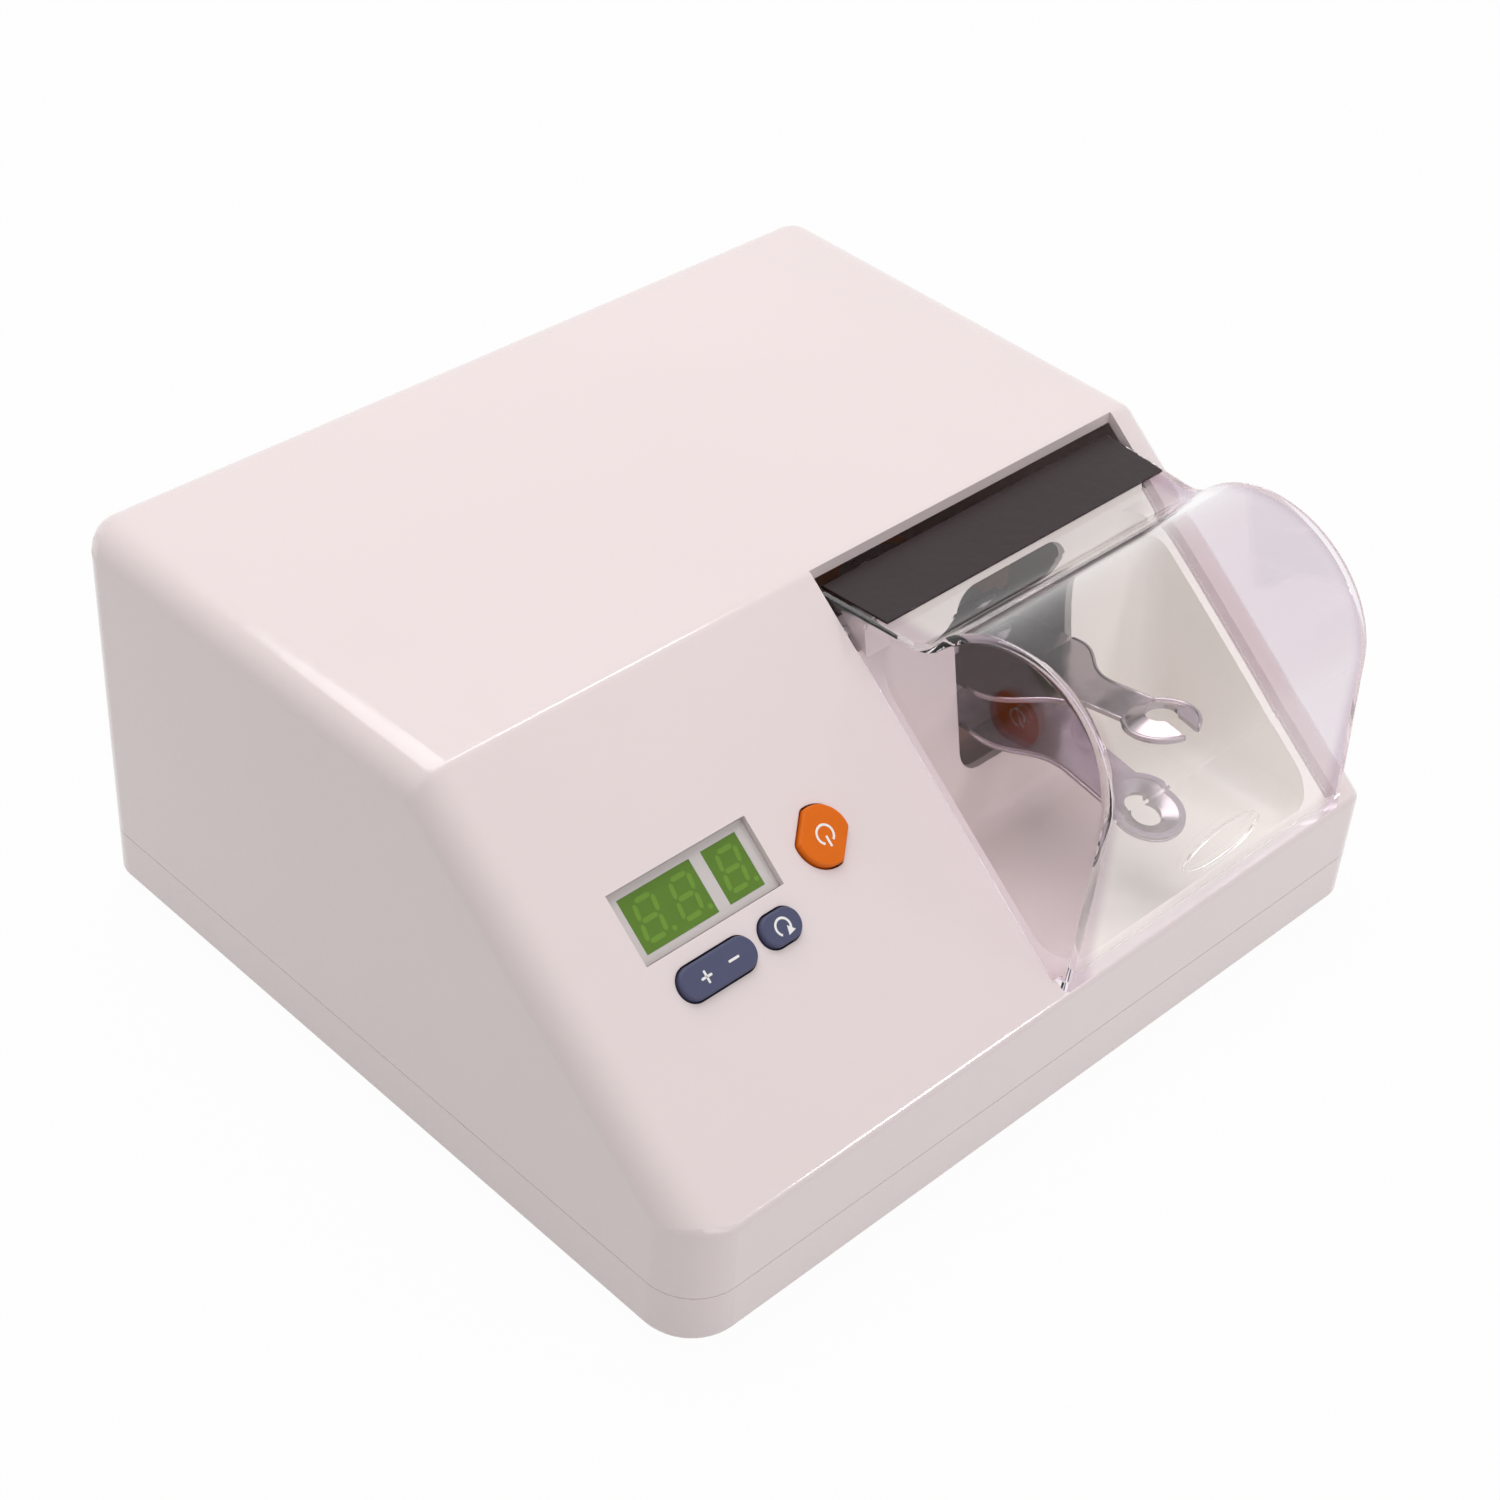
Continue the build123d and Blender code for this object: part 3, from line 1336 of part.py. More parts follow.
with BuildPart() as drive_frame:
    with BuildSketch(Plane.XY.offset(deck_z)):
        with Locations((chamber_x, transit_y)):
            Rectangle(2 * frame_half_width, frame_length)
        with Locations(drive):
            Circle(shaft_hole / 2, mode=Mode.SUBTRACT)
            with PolarLocations(motor_screw_circle / 2, 4, start_angle=45):
                Circle(motor_screw_diameter / 2 + fit_clear, mode=Mode.SUBTRACT)
    extrude(amount=frame_thickness)

    # skirt bent down in front
    with BuildSketch(Plane.XY.offset(deck_z)):
        with Locations((chamber_x, frame_front_y + frame_thickness / 2)):
            Rectangle(2 * frame_half_width, frame_thickness)
    extrude(amount=-frame_skirt_height)

    # side webs, feet and spring hangers
    for side in (-1, 1):
        with BuildSketch(Plane.XY.offset(frame_foot_z)):
            with Locations((chamber_x + side * (frame_half_width - frame_thickness / 2), transit_y)):
                Rectangle(frame_thickness, frame_length)
        extrude(amount=deck_z - frame_foot_z)
        with BuildSketch(Plane.XY.offset(frame_foot_z)):
            with Locations((chamber_x + side * (transit_x - frame_thickness / 2), transit_y)):
                Rectangle(frame_foot_width + frame_thickness, frame_length)
            with Locations((chamber_x + side * transit_x, transit_y)):
                with GridLocations(1, mount_pitch, 1, 2):
                    Circle(mount_screw_diameter / 2 + fit_clear, mode=Mode.SUBTRACT)
                Circle(transit_screw_diameter / 2, mode=Mode.SUBTRACT)
        extrude(amount=frame_thickness)
        with BuildSketch(Plane.XY.offset(deck_top_z)):
            with Locations((chamber_x + side * (hanger_x + frame_thickness / 2), shaft_y)):
                Rectangle(frame_thickness, frame_hanger_width)
        extrude(amount=frame_hanger_rise)
drive_frame.part.label = "drive_frame"
export_step(drive_frame.part, "parts/drive_frame.step")

with BuildPart() as rubber_mounts:
    with BuildSketch(Plane.XY.offset(tray_floor_z)):
        with Locations((chamber_x, transit_y)):
            with GridLocations(2 * transit_x, mount_pitch, 2, 2):
                Circle(mount_diameter / 2)
                Circle(mount_screw_diameter / 2 + fit_clear, mode=Mode.SUBTRACT)
    extrude(amount=mount_height)
rubber_mounts.part.label = "rubber_mounts"
export_step(rubber_mounts.part, "parts/rubber_mounts.step")

with BuildPart() as mount_screws:
    mount_screw = screw(Plane.XY.offset(frame_foot_z + frame_thickness), mount_screw_diameter,
                        frame_thickness + mount_height + mount_screw_bite,
                        mount_screw_head, mount_screw_head_height)
    with Locations((chamber_x, transit_y)):
        with GridLocations(2 * transit_x, mount_pitch, 2, 2):
            add(mount_screw)
mount_screws.part.label = "mount_screws"
export_step(mount_screws.part, "parts/mount_screws.step")

with BuildPart() as transit_screws:
    for side in (-1, 1):
        under = Plane(origin=(chamber_x + side * transit_x, transit_y, base_z), x_dir=(1, 0, 0),
                      z_dir=(0, 0, -1))
        add(screw(under, transit_screw_diameter, frame_foot_z + 2 * frame_thickness - base_z,
                  transit_screw_head, transit_screw_head_height))
transit_screws.part.label = "transit_screws"
export_step(transit_screws.part, "parts/transit_screws.step")

with BuildPart() as motor_screws:
    motor_screw = screw(Plane.XY.offset(deck_top_z), motor_screw_diameter, frame_thickness + motor_wall,
                        motor_screw_head, mount_screw_head_height)
    with Locations(drive):
        with PolarLocations(motor_screw_circle / 2, 4, start_angle=45):
            add(motor_screw)
motor_screws.part.label = "motor_screws"
export_step(motor_screws.part, "parts/motor_screws.step")

# ---------------------------------------------------------------- mains parts in the rear recess
rear = Plane.XZ.offset(-recess_y)
blades = (
    (inlet_x - blade_spacing, mains_z - earth_blade_rise / 2),
    (inlet_x, mains_z + earth_blade_rise / 2),
    (inlet_x + blade_spacing, mains_z - earth_blade_rise / 2),
)
with BuildPart() as mains_inlet:
    with BuildSketch(rear):
        with Locations((inlet_x, mains_z)):
            Rectangle(inlet_flange_width, inlet_flange_height)
            with GridLocations(inlet_screw_spacing, 1, 2, 1):
                Circle(inlet_screw_diameter / 2 + fit_clear, mode=Mode.SUBTRACT)
    extrude(amount=-inlet_flange_thickness)
    with BuildSketch(rear):
        with Locations((inlet_x, mains_z)):
            Rectangle(inlet_width - 2 * fit_clear, inlet_height - 2 * fit_clear)
    extrude(amount=inlet_depth)
    with BuildSketch(rear.offset(-inlet_flange_thickness)):
        with BuildLine():
            Polyline(
                (inlet_x - socket_width / 2, mains_z - socket_height / 2),
                (inlet_x - socket_width / 2, mains_z + socket_height / 2 - socket_chamfer),
                (inlet_x - socket_width / 2 + socket_chamfer, mains_z + socket_height / 2),
                (inlet_x + socket_width / 2 - socket_chamfer, mains_z + socket_height / 2),
                (inlet_x + socket_width / 2, mains_z + socket_height / 2 - socket_chamfer),
                (inlet_x + socket_width / 2, mains_z - socket_height / 2),
                close=True,
            )
        make_face()
    extrude(amount=socket_depth, mode=Mode.SUBTRACT)
    with BuildSketch(rear):
        with Locations(*blades):
            Rectangle(blade_thickness + 2 * running_clear, blade_width + 2 * running_clear)
    extrude(amount=inlet_depth, mode=Mode.SUBTRACT)
mains_inlet.part.label = "mains_inlet"
export_step(mains_inlet.part, "parts/mains_inlet.step")

with BuildPart() as inlet_blades:
    with BuildSketch(rear.offset(blade_set_back - inlet_flange_thickness)):
        with Locations(*blades):
            Rectangle(blade_thickness, blade_width)
    extrude(amount=blade_length)
inlet_blades.part.label = "inlet_blades"
export_step(inlet_blades.part, "parts/inlet_blades.step")

with BuildPart() as inlet_screws:
    for offset in (-inlet_screw_spacing / 2, inlet_screw_spacing / 2):
        seat = Plane(origin=(inlet_x + offset, recess_y + inlet_flange_thickness, mains_z), x_dir=(1, 0, 0),
                     z_dir=(0, 1, 0))
        add(screw(seat, inlet_screw_diameter, inlet_screw_length, inlet_screw_head, inlet_screw_head_height))
inlet_screws.part.label = "inlet_screws"
export_step(inlet_screws.part, "parts/inlet_screws.step")

rocker_y = recess_y - rocker_pivot_depth
with BuildPart() as mains_switch_body:
    with BuildSketch(rear):
        with Locations((switch_x, mains_z)):
            Rectangle(mains_switch_width + 2 * mains_switch_lip, mains_switch_height + 2 * mains_switch_lip)
    extrude(amount=-mains_switch_flange)
    with BuildSketch(rear):
        with Locations((switch_x, mains_z)):
            Rectangle(mains_switch_width - 2 * fit_clear, mains_switch_height - 2 * fit_clear)
    extrude(amount=mains_switch_depth)
    with BuildSketch(Plane.XZ.offset(-recess_y - mains_switch_flange)):
        with Locations((switch_x, mains_z)):
            Rectangle(rocker_width + 2 * rocker_clear, rocker_height + 2 * rocker_clear)
    extrude(amount=mains_switch_flange + rocker_pivot_depth + rocker_height / 2 + rocker_clear,
            mode=Mode.SUBTRACT)
mains_switch_body.part.label = "mains_switch_body"
export_step(mains_switch_body.part, "parts/mains_switch_body.step")

with BuildPart() as mains_rocker:
    tilt = rocker_tilt * pi / 180
    side_on = Plane(origin=(switch_x - rocker_width / 2, rocker_y, mains_z),
                    x_dir=(0, cos(tilt), sin(tilt)), z_dir=(1, 0, 0))
    with BuildSketch(side_on):
        Circle(rocker_height / 2)
        with BuildLine():
            Polyline(
                (rocker_valley, 0),
                (rocker_valley + rocker_height * tan(tilt), rocker_height),
                (2 * rocker_height, rocker_height),
                (2 * rocker_height, -rocker_height),
                (rocker_valley + rocker_height * tan(tilt), -rocker_height),
                close=True,
            )
        make_face(mode=Mode.SUBTRACT)
    extrude(amount=rocker_width)
mains_rocker.part.label = "mains_rocker"
export_step(mains_rocker.part, "parts/mains_rocker.step")

with BuildPart() as fuse_holder:
    with BuildSketch(rear):
        with Locations((fuse_x, mains_z)):
            Circle(fuse_flange / 2)
    extrude(amount=-fuse_flange_thickness)
    with BuildSketch(rear):
        with Locations((fuse_x, mains_z)):
            Circle(fuse_diameter / 2 - fit_clear)
    extrude(amount=fuse_depth)
    with BuildSketch(Plane.XZ.offset(-recess_y - fuse_flange_thickness)):
        with Locations((fuse_x, mains_z)):
            Circle(fuse_cap_diameter / 2 + fit_clear)
    extrude(amount=fuse_bore_depth, mode=Mode.SUBTRACT)
fuse_holder.part.label = "fuse_holder"
export_step(fuse_holder.part, "parts/fuse_holder.step")

cap_face_y = recess_y + fuse_flange_thickness + fuse_cap_proud
with BuildPart() as fuse_cap:
    with BuildSketch(Plane.XZ.offset(-cap_face_y)):
        with Locations((fuse_x, mains_z)):
            Circle(fuse_cap_diameter / 2)
    extrude(amount=fuse_cap_length)
    with BuildSketch(Plane.XZ.offset(-cap_face_y)):
        with Locations((fuse_x, mains_z)):
            Rectangle(fuse_cap_diameter * 0.8, fuse_cap_slot)
    extrude(amount=fuse_cap_slot, mode=Mode.SUBTRACT)
fuse_cap.part.label = "fuse_cap"
export_step(fuse_cap.part, "parts/fuse_cap.step")

with BuildPart() as fuse_tube:
    with BuildSketch(Plane.XZ.offset(-cap_face_y + fuse_cap_length + hood_seat_clear)):
        with Locations((fuse_x, mains_z)):
            Circle(fuse_tube_diameter / 2)
    extrude(amount=fuse_tube_length - bush_proud)
fuse_tube.part.label = "fuse_tube"
export_step(fuse_tube.part, "parts/fuse_tube.step")

# ---------------------------------------------------------------- power board and transformer
power_holes = (power_board_width - 2 * board_screw_inset, power_board_length - 2 * board_screw_inset)
power_low_z = tray_floor_z + power_board_height
power_top_z = power_low_z + board_thickness

with BuildPart() as power_board:
    with BuildSketch(Plane.XY.offset(power_low_z)):
        with Locations((power_board_x, power_board_y)):
            Rectangle(power_board_width, power_board_length)
            with GridLocations(*power_holes, 2, 2):
                Circle(board_screw_diameter / 2 + fit_clear, mode=Mode.SUBTRACT)
    extrude(amount=board_thickness)
power_board.part.label = "power_board"
export_step(power_board.part, "parts/power_board.step")

with BuildPart() as power_board_screws:
    power_screw = screw(Plane.XY.offset(power_top_z), board_screw_diameter,
                        board_thickness + board_screw_bite, board_screw_head, case_screw_head_height)
    with Locations((power_board_x, power_board_y)):
        with GridLocations(*power_holes, 2, 2):
            add(power_screw)
power_board_screws.part.label = "power_board_screws"
export_step(power_board_screws.part, "parts/power_board_screws.step")

with BuildPart() as power_capacitors:
    with BuildSketch(Plane.XY.offset(power_top_z)):
        with Locations((power_board_x, power_board_y + power_board_length / 4)):
            with GridLocations(capacitor_pitch, 1, 3, 1):
                Circle(capacitor_diameter / 2)
    extrude(amount=capacitor_height)
    fillet(power_capacitors.faces().filter_by(Plane.XY).group_by(Axis.Z)[-1].edges(), bush_proud)
power_capacitors.part.label = "power_capacitors"
export_step(power_capacitors.part, "parts/power_capacitors.step")

with BuildPart() as heat_sink:
    with BuildSketch(Plane.XY.offset(power_top_z)):
        with Locations((power_board_x, power_board_y - power_board_length / 4)):
            Rectangle(heat_sink_width, heat_sink_depth)
    extrude(amount=heat_sink_height)
    fin_pitch = (heat_sink_width - heat_sink_fin) / (heat_sink_fins - 1)
    with BuildSketch(Plane.XY.offset(power_top_z)):
        with Locations((power_board_x, power_board_y - power_board_length / 4 + heat_sink_base)):
            with GridLocations(fin_pitch, 1, heat_sink_fins - 1, 1):
                Rectangle(fin_pitch - heat_sink_fin, heat_sink_depth)
    extrude(amount=heat_sink_height, mode=Mode.SUBTRACT)
heat_sink.part.label = "heat_sink"
export_step(heat_sink.part, "parts/heat_sink.step")

transformer_places = (transformer_x, transformer_y)
core_z = tray_floor_z + transformer_foot
coil_x = (core_leg + coil_width) / 4
with BuildPart() as transformer_core:
    with BuildSketch(Plane.XY.offset(tray_floor_z)):
        with Locations(transformer_places):
            Rectangle(transformer_foot_width, core_depth)
            with GridLocations(transformer_screw_pitch, 1, 2, 1):
                Circle(mount_screw_diameter / 2 + fit_clear, mode=Mode.SUBTRACT)
    extrude(amount=transformer_foot)
    with BuildSketch(Plane.XY.offset(core_z)):
        with Locations(transformer_places):
            Rectangle(core_width, core_depth)
    extrude(amount=core_height)
    with BuildSketch(Plane.XZ.offset(-transformer_y)):
        with Locations((transformer_x, core_z + core_height / 2)):
            with GridLocations(2 * coil_x, 1, 2, 1):
                Rectangle((coil_width - core_leg) / 2 + 2 * fit_clear, core_window_height)
    extrude(amount=core_depth, both=True, mode=Mode.SUBTRACT)
transformer_core.part.label = "transformer_core"
export_step(transformer_core.part, "parts/transformer_core.step")

with BuildPart() as transformer_coil:
    with BuildSketch(Plane.XY.offset(core_z + (core_height - coil_height) / 2)):
        with Locations(transformer_places):
            RectangleRounded(coil_width, coil_depth, transformer_foot)
            Rectangle(core_leg + 2 * fit_clear, core_depth + 2 * fit_clear, mode=Mode.SUBTRACT)
    extrude(amount=coil_height)
transformer_coil.part.label = "transformer_coil"
export_step(transformer_coil.part, "parts/transformer_coil.step")

with BuildPart() as transformer_screws:
    transformer_screw = screw(Plane.XY.offset(core_z), mount_screw_diameter,
                              transformer_foot + mount_screw_bite, mount_screw_head, mount_screw_head_height)
    with Locations(transformer_places):
        with GridLocations(transformer_screw_pitch, 1, 2, 1):
            add(transformer_screw)
transformer_screws.part.label = "transformer_screws"
export_step(transformer_screws.part, "parts/transformer_screws.step")
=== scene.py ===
import math

import bpy
from mathutils import Matrix, Vector


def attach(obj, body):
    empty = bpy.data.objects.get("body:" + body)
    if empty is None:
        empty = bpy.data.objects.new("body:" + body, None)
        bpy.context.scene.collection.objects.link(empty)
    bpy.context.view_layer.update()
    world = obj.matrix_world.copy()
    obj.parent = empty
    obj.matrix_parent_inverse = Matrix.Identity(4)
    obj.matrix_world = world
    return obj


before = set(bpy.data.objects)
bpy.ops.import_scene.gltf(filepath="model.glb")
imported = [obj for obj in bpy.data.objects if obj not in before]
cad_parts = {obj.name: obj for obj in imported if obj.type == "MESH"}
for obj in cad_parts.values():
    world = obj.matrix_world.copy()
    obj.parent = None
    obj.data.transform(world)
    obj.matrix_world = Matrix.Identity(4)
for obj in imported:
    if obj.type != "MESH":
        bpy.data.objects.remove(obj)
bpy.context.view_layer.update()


# ---------------------------------------------------------------- studio
# A plain pale table and one big soft light above, with a weaker one in front.
# The camera stands to the left of the machine, at the height of the photographer's eye,
# and sees white behind the table, as in a catalogue picture.
camera_place = Vector((-0.38825, -0.36334, 0.474))
camera_right = Vector((0.7155, -0.6960, 0.0595))
camera_up = Vector((0.4069, 0.4845, 0.7744))
camera_lens = 69.5
table_size = 6.0
table_white = 0.60
backdrop_share = 0.97
room_level = 0.52
lamps = (
    ("overhead_softbox", (0.02, 0.36, 1.12), 0.9, 6.8),
    ("front_softbox", (-0.10, -1.20, 0.22), 0.8, 2.2),
    ("edge_lamp", (0.53, -0.86, 0.42), 0.16, 1.0),
    ("crease_lamp", (0.537, 0.068, 1.07), 0.17, 0.6),
    ("left_reflector", (-1.10, 0.35, 0.60), 0.7, 0.45),
)

camera_turn = Matrix((camera_right, camera_up, camera_right.cross(camera_up))).transposed()
bpy.ops.object.camera_add(location=camera_place, rotation=camera_turn.to_euler())
camera = bpy.context.object
camera.data.lens = camera_lens
camera.data.sensor_width = 36.0
camera.data.clip_start = 0.01
bpy.context.scene.camera = camera
bpy.context.scene.view_settings.view_transform = "Standard"

for lamp_name, lamp_place, lamp_size, lamp_power in lamps:
    aim = Vector((0.0, 0.0, 0.05)) - Vector(lamp_place)
    turn = aim.to_track_quat("-Z", "Y").to_euler()
    bpy.ops.object.light_add(type="AREA", location=lamp_place, rotation=turn)
    lamp = bpy.context.object
    lamp.name = lamp_name
    lamp.data.size = lamp_size
    lamp.data.energy = lamp_power

world = bpy.data.worlds.new("room")
world.use_nodes = True
bpy.context.scene.world = world
room = world.node_tree
room.nodes.clear()
room_light = room.nodes.new("ShaderNodeBackground")
room_light.inputs["Color"].default_value = (1.0, 0.985, 0.98, 1.0)
room_light.inputs["Strength"].default_value = room_level
white_view = room.nodes.new("ShaderNodeBackground")
white_view.inputs["Color"].default_value = (1.0, 1.0, 1.0, 1.0)
glossy_seen = room.nodes.new("ShaderNodeMath")
glossy_seen.operation = "MAXIMUM"
room_mix = room.nodes.new("ShaderNodeMixShader")
room_out = room.nodes.new("ShaderNodeOutputWorld")
rays = room.nodes.new("ShaderNodeLightPath")
seen = room.nodes.new("ShaderNodeMath")
seen.operation = "MAXIMUM"
room.links.new(rays.outputs["Is Camera Ray"], seen.inputs[0])
room.links.new(rays.outputs["Is Transmission Ray"], seen.inputs[1])
room.links.new(seen.outputs[0], glossy_seen.inputs[0])
room.links.new(rays.outputs["Is Glossy Ray"], glossy_seen.inputs[1])
room.links.new(glossy_seen.outputs[0], room_mix.inputs[0])
room.links.new(room_light.outputs[0], room_mix.inputs[1])
room.links.new(white_view.outputs[0], room_mix.inputs[2])
room.links.new(room_mix.outputs[0], room_out.inputs["Surface"])

bpy.ops.object.select_all(action="DESELECT")
bpy.ops.mesh.primitive_plane_add(size=table_size, location=(0, 0, 0))
table_top = bpy.context.object
table_top.name = "table_top"
table_paint = bpy.data.materials.new("table_paint")
table_paint.use_nodes = True
tree = table_paint.node_tree
tree.nodes["Principled BSDF"].inputs["Base Color"].default_value = (table_white, table_white, table_white, 1)
tree.nodes["Principled BSDF"].inputs["Roughness"].default_value = 0.9
glow = tree.nodes.new("ShaderNodeEmission")
glow_mix = tree.nodes.new("ShaderNodeMixShader")
table_rays = tree.nodes.new("ShaderNodeLightPath")
table_seen = tree.nodes.new("ShaderNodeMath")
table_seen.operation = "MAXIMUM"
table_mirrored = tree.nodes.new("ShaderNodeMath")
table_mirrored.operation = "MAXIMUM"
table_share = tree.nodes.new("ShaderNodeMath")
table_share.operation = "MULTIPLY"
table_share.inputs[1].default_value = backdrop_share
tree.links.new(table_rays.outputs["Is Camera Ray"], table_seen.inputs[0])
tree.links.new(table_rays.outputs["Is Transmission Ray"], table_seen.inputs[1])
tree.links.new(table_seen.outputs[0], table_mirrored.inputs[0])
tree.links.new(table_rays.outputs["Is Glossy Ray"], table_mirrored.inputs[1])
tree.links.new(table_mirrored.outputs[0], table_share.inputs[0])
tree.links.new(table_share.outputs[0], glow_mix.inputs[0])
tree.links.new(tree.nodes["Principled BSDF"].outputs[0], glow_mix.inputs[1])
tree.links.new(glow.outputs[0], glow_mix.inputs[2])
tree.links.new(glow_mix.outputs[0], tree.nodes["Material Output"].inputs["Surface"])
table_top.data.materials.append(table_paint)


# ---------------------------------------------------------------- case shells
# The two shells are moulded in glossy ABS, a warm white with a breath of pink, and meet
# at a shadow line near the table. The mould's polish leaves a faint ripple in the gloss.
shell_colour = (0.800, 0.695, 0.693)
shell_roughness = 0.16
shell_ripple = 0.00022
liner_colour = (0.940, 0.890, 0.840)


def moulded(name, colour, roughness, patch_scale, patch_share, ripple_scale, ripple, coat=0.0, shine=0.5):
    """Moulded plastic: slow patches of tone, an uneven polish and a fine ripple in the skin."""
    material = bpy.data.materials.new(name)
    material.use_nodes = True
    tree = material.node_tree
    skin = tree.nodes["Principled BSDF"]
    place = tree.nodes.new("ShaderNodeTexCoord")
    patches = tree.nodes.new("ShaderNodeTexNoise")
    patches.inputs["Scale"].default_value = patch_scale
    patches.inputs["Detail"].default_value = 3.0
    tint = tree.nodes.new("ShaderNodeMix")
    tint.data_type = "RGBA"
    tint.inputs["A"].default_value = (*[c * (1 - patch_share) for c in colour], 1)
    tint.inputs["B"].default_value = (*[min(c * (1 + patch_share), 1.0) for c in colour], 1)
    polish = tree.nodes.new("ShaderNodeMapRange")
    polish.inputs["To Min"].default_value = roughness * 0.8
    polish.inputs["To Max"].default_value = roughness * 1.25
    grain = tree.nodes.new("ShaderNodeTexNoise")
    grain.inputs["Scale"].default_value = ripple_scale
    grain.inputs["Detail"].default_value = 2.0
    bump = tree.nodes.new("ShaderNodeBump")
    bump.inputs["Strength"].default_value = 1.0
    bump.inputs["Distance"].default_value = ripple
    tree.links.new(place.outputs["Object"], patches.inputs["Vector"])
    tree.links.new(place.outputs["Object"], grain.inputs["Vector"])
    tree.links.new(patches.outputs["Fac"], tint.inputs["Factor"])
    tree.links.new(patches.outputs["Fac"], polish.inputs["Value"])
    tree.links.new(tint.outputs["Result"], skin.inputs["Base Color"])
    tree.links.new(polish.outputs["Result"], skin.inputs["Roughness"])
    tree.links.new(grain.outputs["Fac"], bump.inputs["Height"])
    tree.links.new(bump.outputs["Normal"], skin.inputs["Normal"])
    skin.inputs["Coat Weight"].default_value = coat
    skin.inputs["Coat Roughness"].default_value = 0.06
    skin.inputs["Specular IOR Level"].default_value = shine
    return material


def dress(material, *nodes):
    """Gives carried-over parts their finish."""
    for node in nodes:
        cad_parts[node].material_slots[0].material = material


glossy_shell = moulded("glossy_shell", shell_colour, shell_roughness, 14, 0.02, 75, shell_ripple, 0.5)
satin_liner = moulded("satin_liner", liner_colour, 0.38, 20, 0.03, 260, 0.0001, 0.15)
dress(glossy_shell, "upper_housing", "base_tray")
dress(satin_liner, "chamber_liner")


# ---------------------------------------------------------------- feet, mounts and screws
# Four matt rubber feet, the rubber bushes under the drive, and zinc-plated screws.
# Rubber is dusty black, and the plating has a fine brushed streak.
rubber = moulded("matt_rubber", (0.022, 0.021, 0.021), 0.75, 90, 0.15, 900, 0.0002)


def plated(name, colour, roughness, streak_scale, streak_share, dent_scale=300.0, dent=0.0, metal=1.0):
    """Bare or plated metal with fine streaks of tone and polish, and shallow dents if any."""
    material = bpy.data.materials.new(name)
    material.use_nodes = True
    tree = material.node_tree
    skin = tree.nodes["Principled BSDF"]
    skin.inputs["Metallic"].default_value = metal
    place = tree.nodes.new("ShaderNodeTexCoord")
    stretch = tree.nodes.new("ShaderNodeMapping")
    stretch.inputs["Scale"].default_value = streak_scale
    streaks = tree.nodes.new("ShaderNodeTexNoise")
    streaks.inputs["Scale"].default_value = 1.0
    streaks.inputs["Detail"].default_value = 4.0
    tint = tree.nodes.new("ShaderNodeMix")
    tint.data_type = "RGBA"
    tint.inputs["A"].default_value = (*[c * (1 - streak_share) for c in colour], 1)
    tint.inputs["B"].default_value = (*[min(c * (1 + streak_share), 1.0) for c in colour], 1)
    polish = tree.nodes.new("ShaderNodeMapRange")
    polish.inputs["To Min"].default_value = roughness * 0.7
    polish.inputs["To Max"].default_value = roughness * 1.4
    dents = tree.nodes.new("ShaderNodeTexNoise")
    dents.inputs["Scale"].default_value = dent_scale
    bump = tree.nodes.new("ShaderNodeBump")
    bump.inputs["Distance"].default_value = dent
    tree.links.new(place.outputs["Object"], stretch.inputs["Vector"])
    tree.links.new(stretch.outputs["Vector"], streaks.inputs["Vector"])
    tree.links.new(place.outputs["Object"], dents.inputs["Vector"])
    tree.links.new(streaks.outputs["Fac"], tint.inputs["Factor"])
    tree.links.new(streaks.outputs["Fac"], polish.inputs["Value"])
    tree.links.new(tint.outputs["Result"], skin.inputs["Base Color"])
    tree.links.new(polish.outputs["Result"], skin.inputs["Roughness"])
    if dent:
        tree.links.new(dents.outputs["Fac"], bump.inputs["Height"])
        tree.links.new(bump.outputs["Normal"], skin.inputs["Normal"])
    return material


zinc = plated("zinc_plate", (0.60, 0.60, 0.62), 0.32, (900, 900, 200), 0.12)
dress(rubber, "rubber_feet", "rubber_mounts")
dress(zinc, "case_screws", "liner_screws", "hinge_pins", "board_screws", "motor_screws",
      "mount_screws", "transit_screws", "inlet_screws", "power_board_screws",
      "transformer_screws", "fork_screws", "restraint_springs")


# ---------------------------------------------------------------- drive inside the case
# The folded frame is passivated steel, a warm bronze that shows through the chamber's slot.
# Motor can, shaft and hub are plain steel, and the carrier of the fork is turned aluminium.
bronze = plated("bronze_passivation", (0.80, 0.50, 0.34), 0.45, (60, 60, 25), 0.22, 40, 0.0004, 0.4)
turned = plated("turned_aluminium", (0.66, 0.66, 0.67), 0.28, (200, 200, 1600), 0.10)
steel = plated("drawn_steel", (0.52, 0.52, 0.54), 0.30, (120, 120, 900), 0.12)
iron = plated("stacked_iron", (0.20, 0.20, 0.21), 0.48, (60, 60, 1800), 0.20)
copper = plated("copper_wire", (0.70, 0.34, 0.19), 0.34, (300, 300, 2600), 0.20)
sintered = plated("sintered_bush", (0.48, 0.33, 0.17), 0.50, (900, 900, 900), 0.18)
ceramic = moulded("ceramic_magnet", (0.050, 0.050, 0.055), 0.55, 120, 0.12, 700, 0.00015)
dress(bronze, "drive_frame")
dress(turned, "fork_carrier", "heat_sink")
dress(steel, "motor_can", "motor_shaft", "skewed_hub", "hub_nut", "inlet_blades")
dress(iron, "armature", "transformer_core")
dress(copper, "commutator", "transformer_coil")
dress(sintered, "motor_bushes")
dress(ceramic, "motor_magnets", "motor_brushes")


# ---------------------------------------------------------------- fork
# Two pressed arms of spring steel, plated and polished, that hold a capsule between rings.
# The plate's mid grey is its own. The mauve cast in its colour is a painted reflection of the pinkish chamber
# and cover around the arms.
spring_chrome = plated("spring_chrome", (0.40, 0.340, 0.360), 0.20, (60, 220, 60), 0.08, 70, 0.0006)
dress(spring_chrome, "fork_upper_arm", "fork_lower_arm", "drive_bearing")

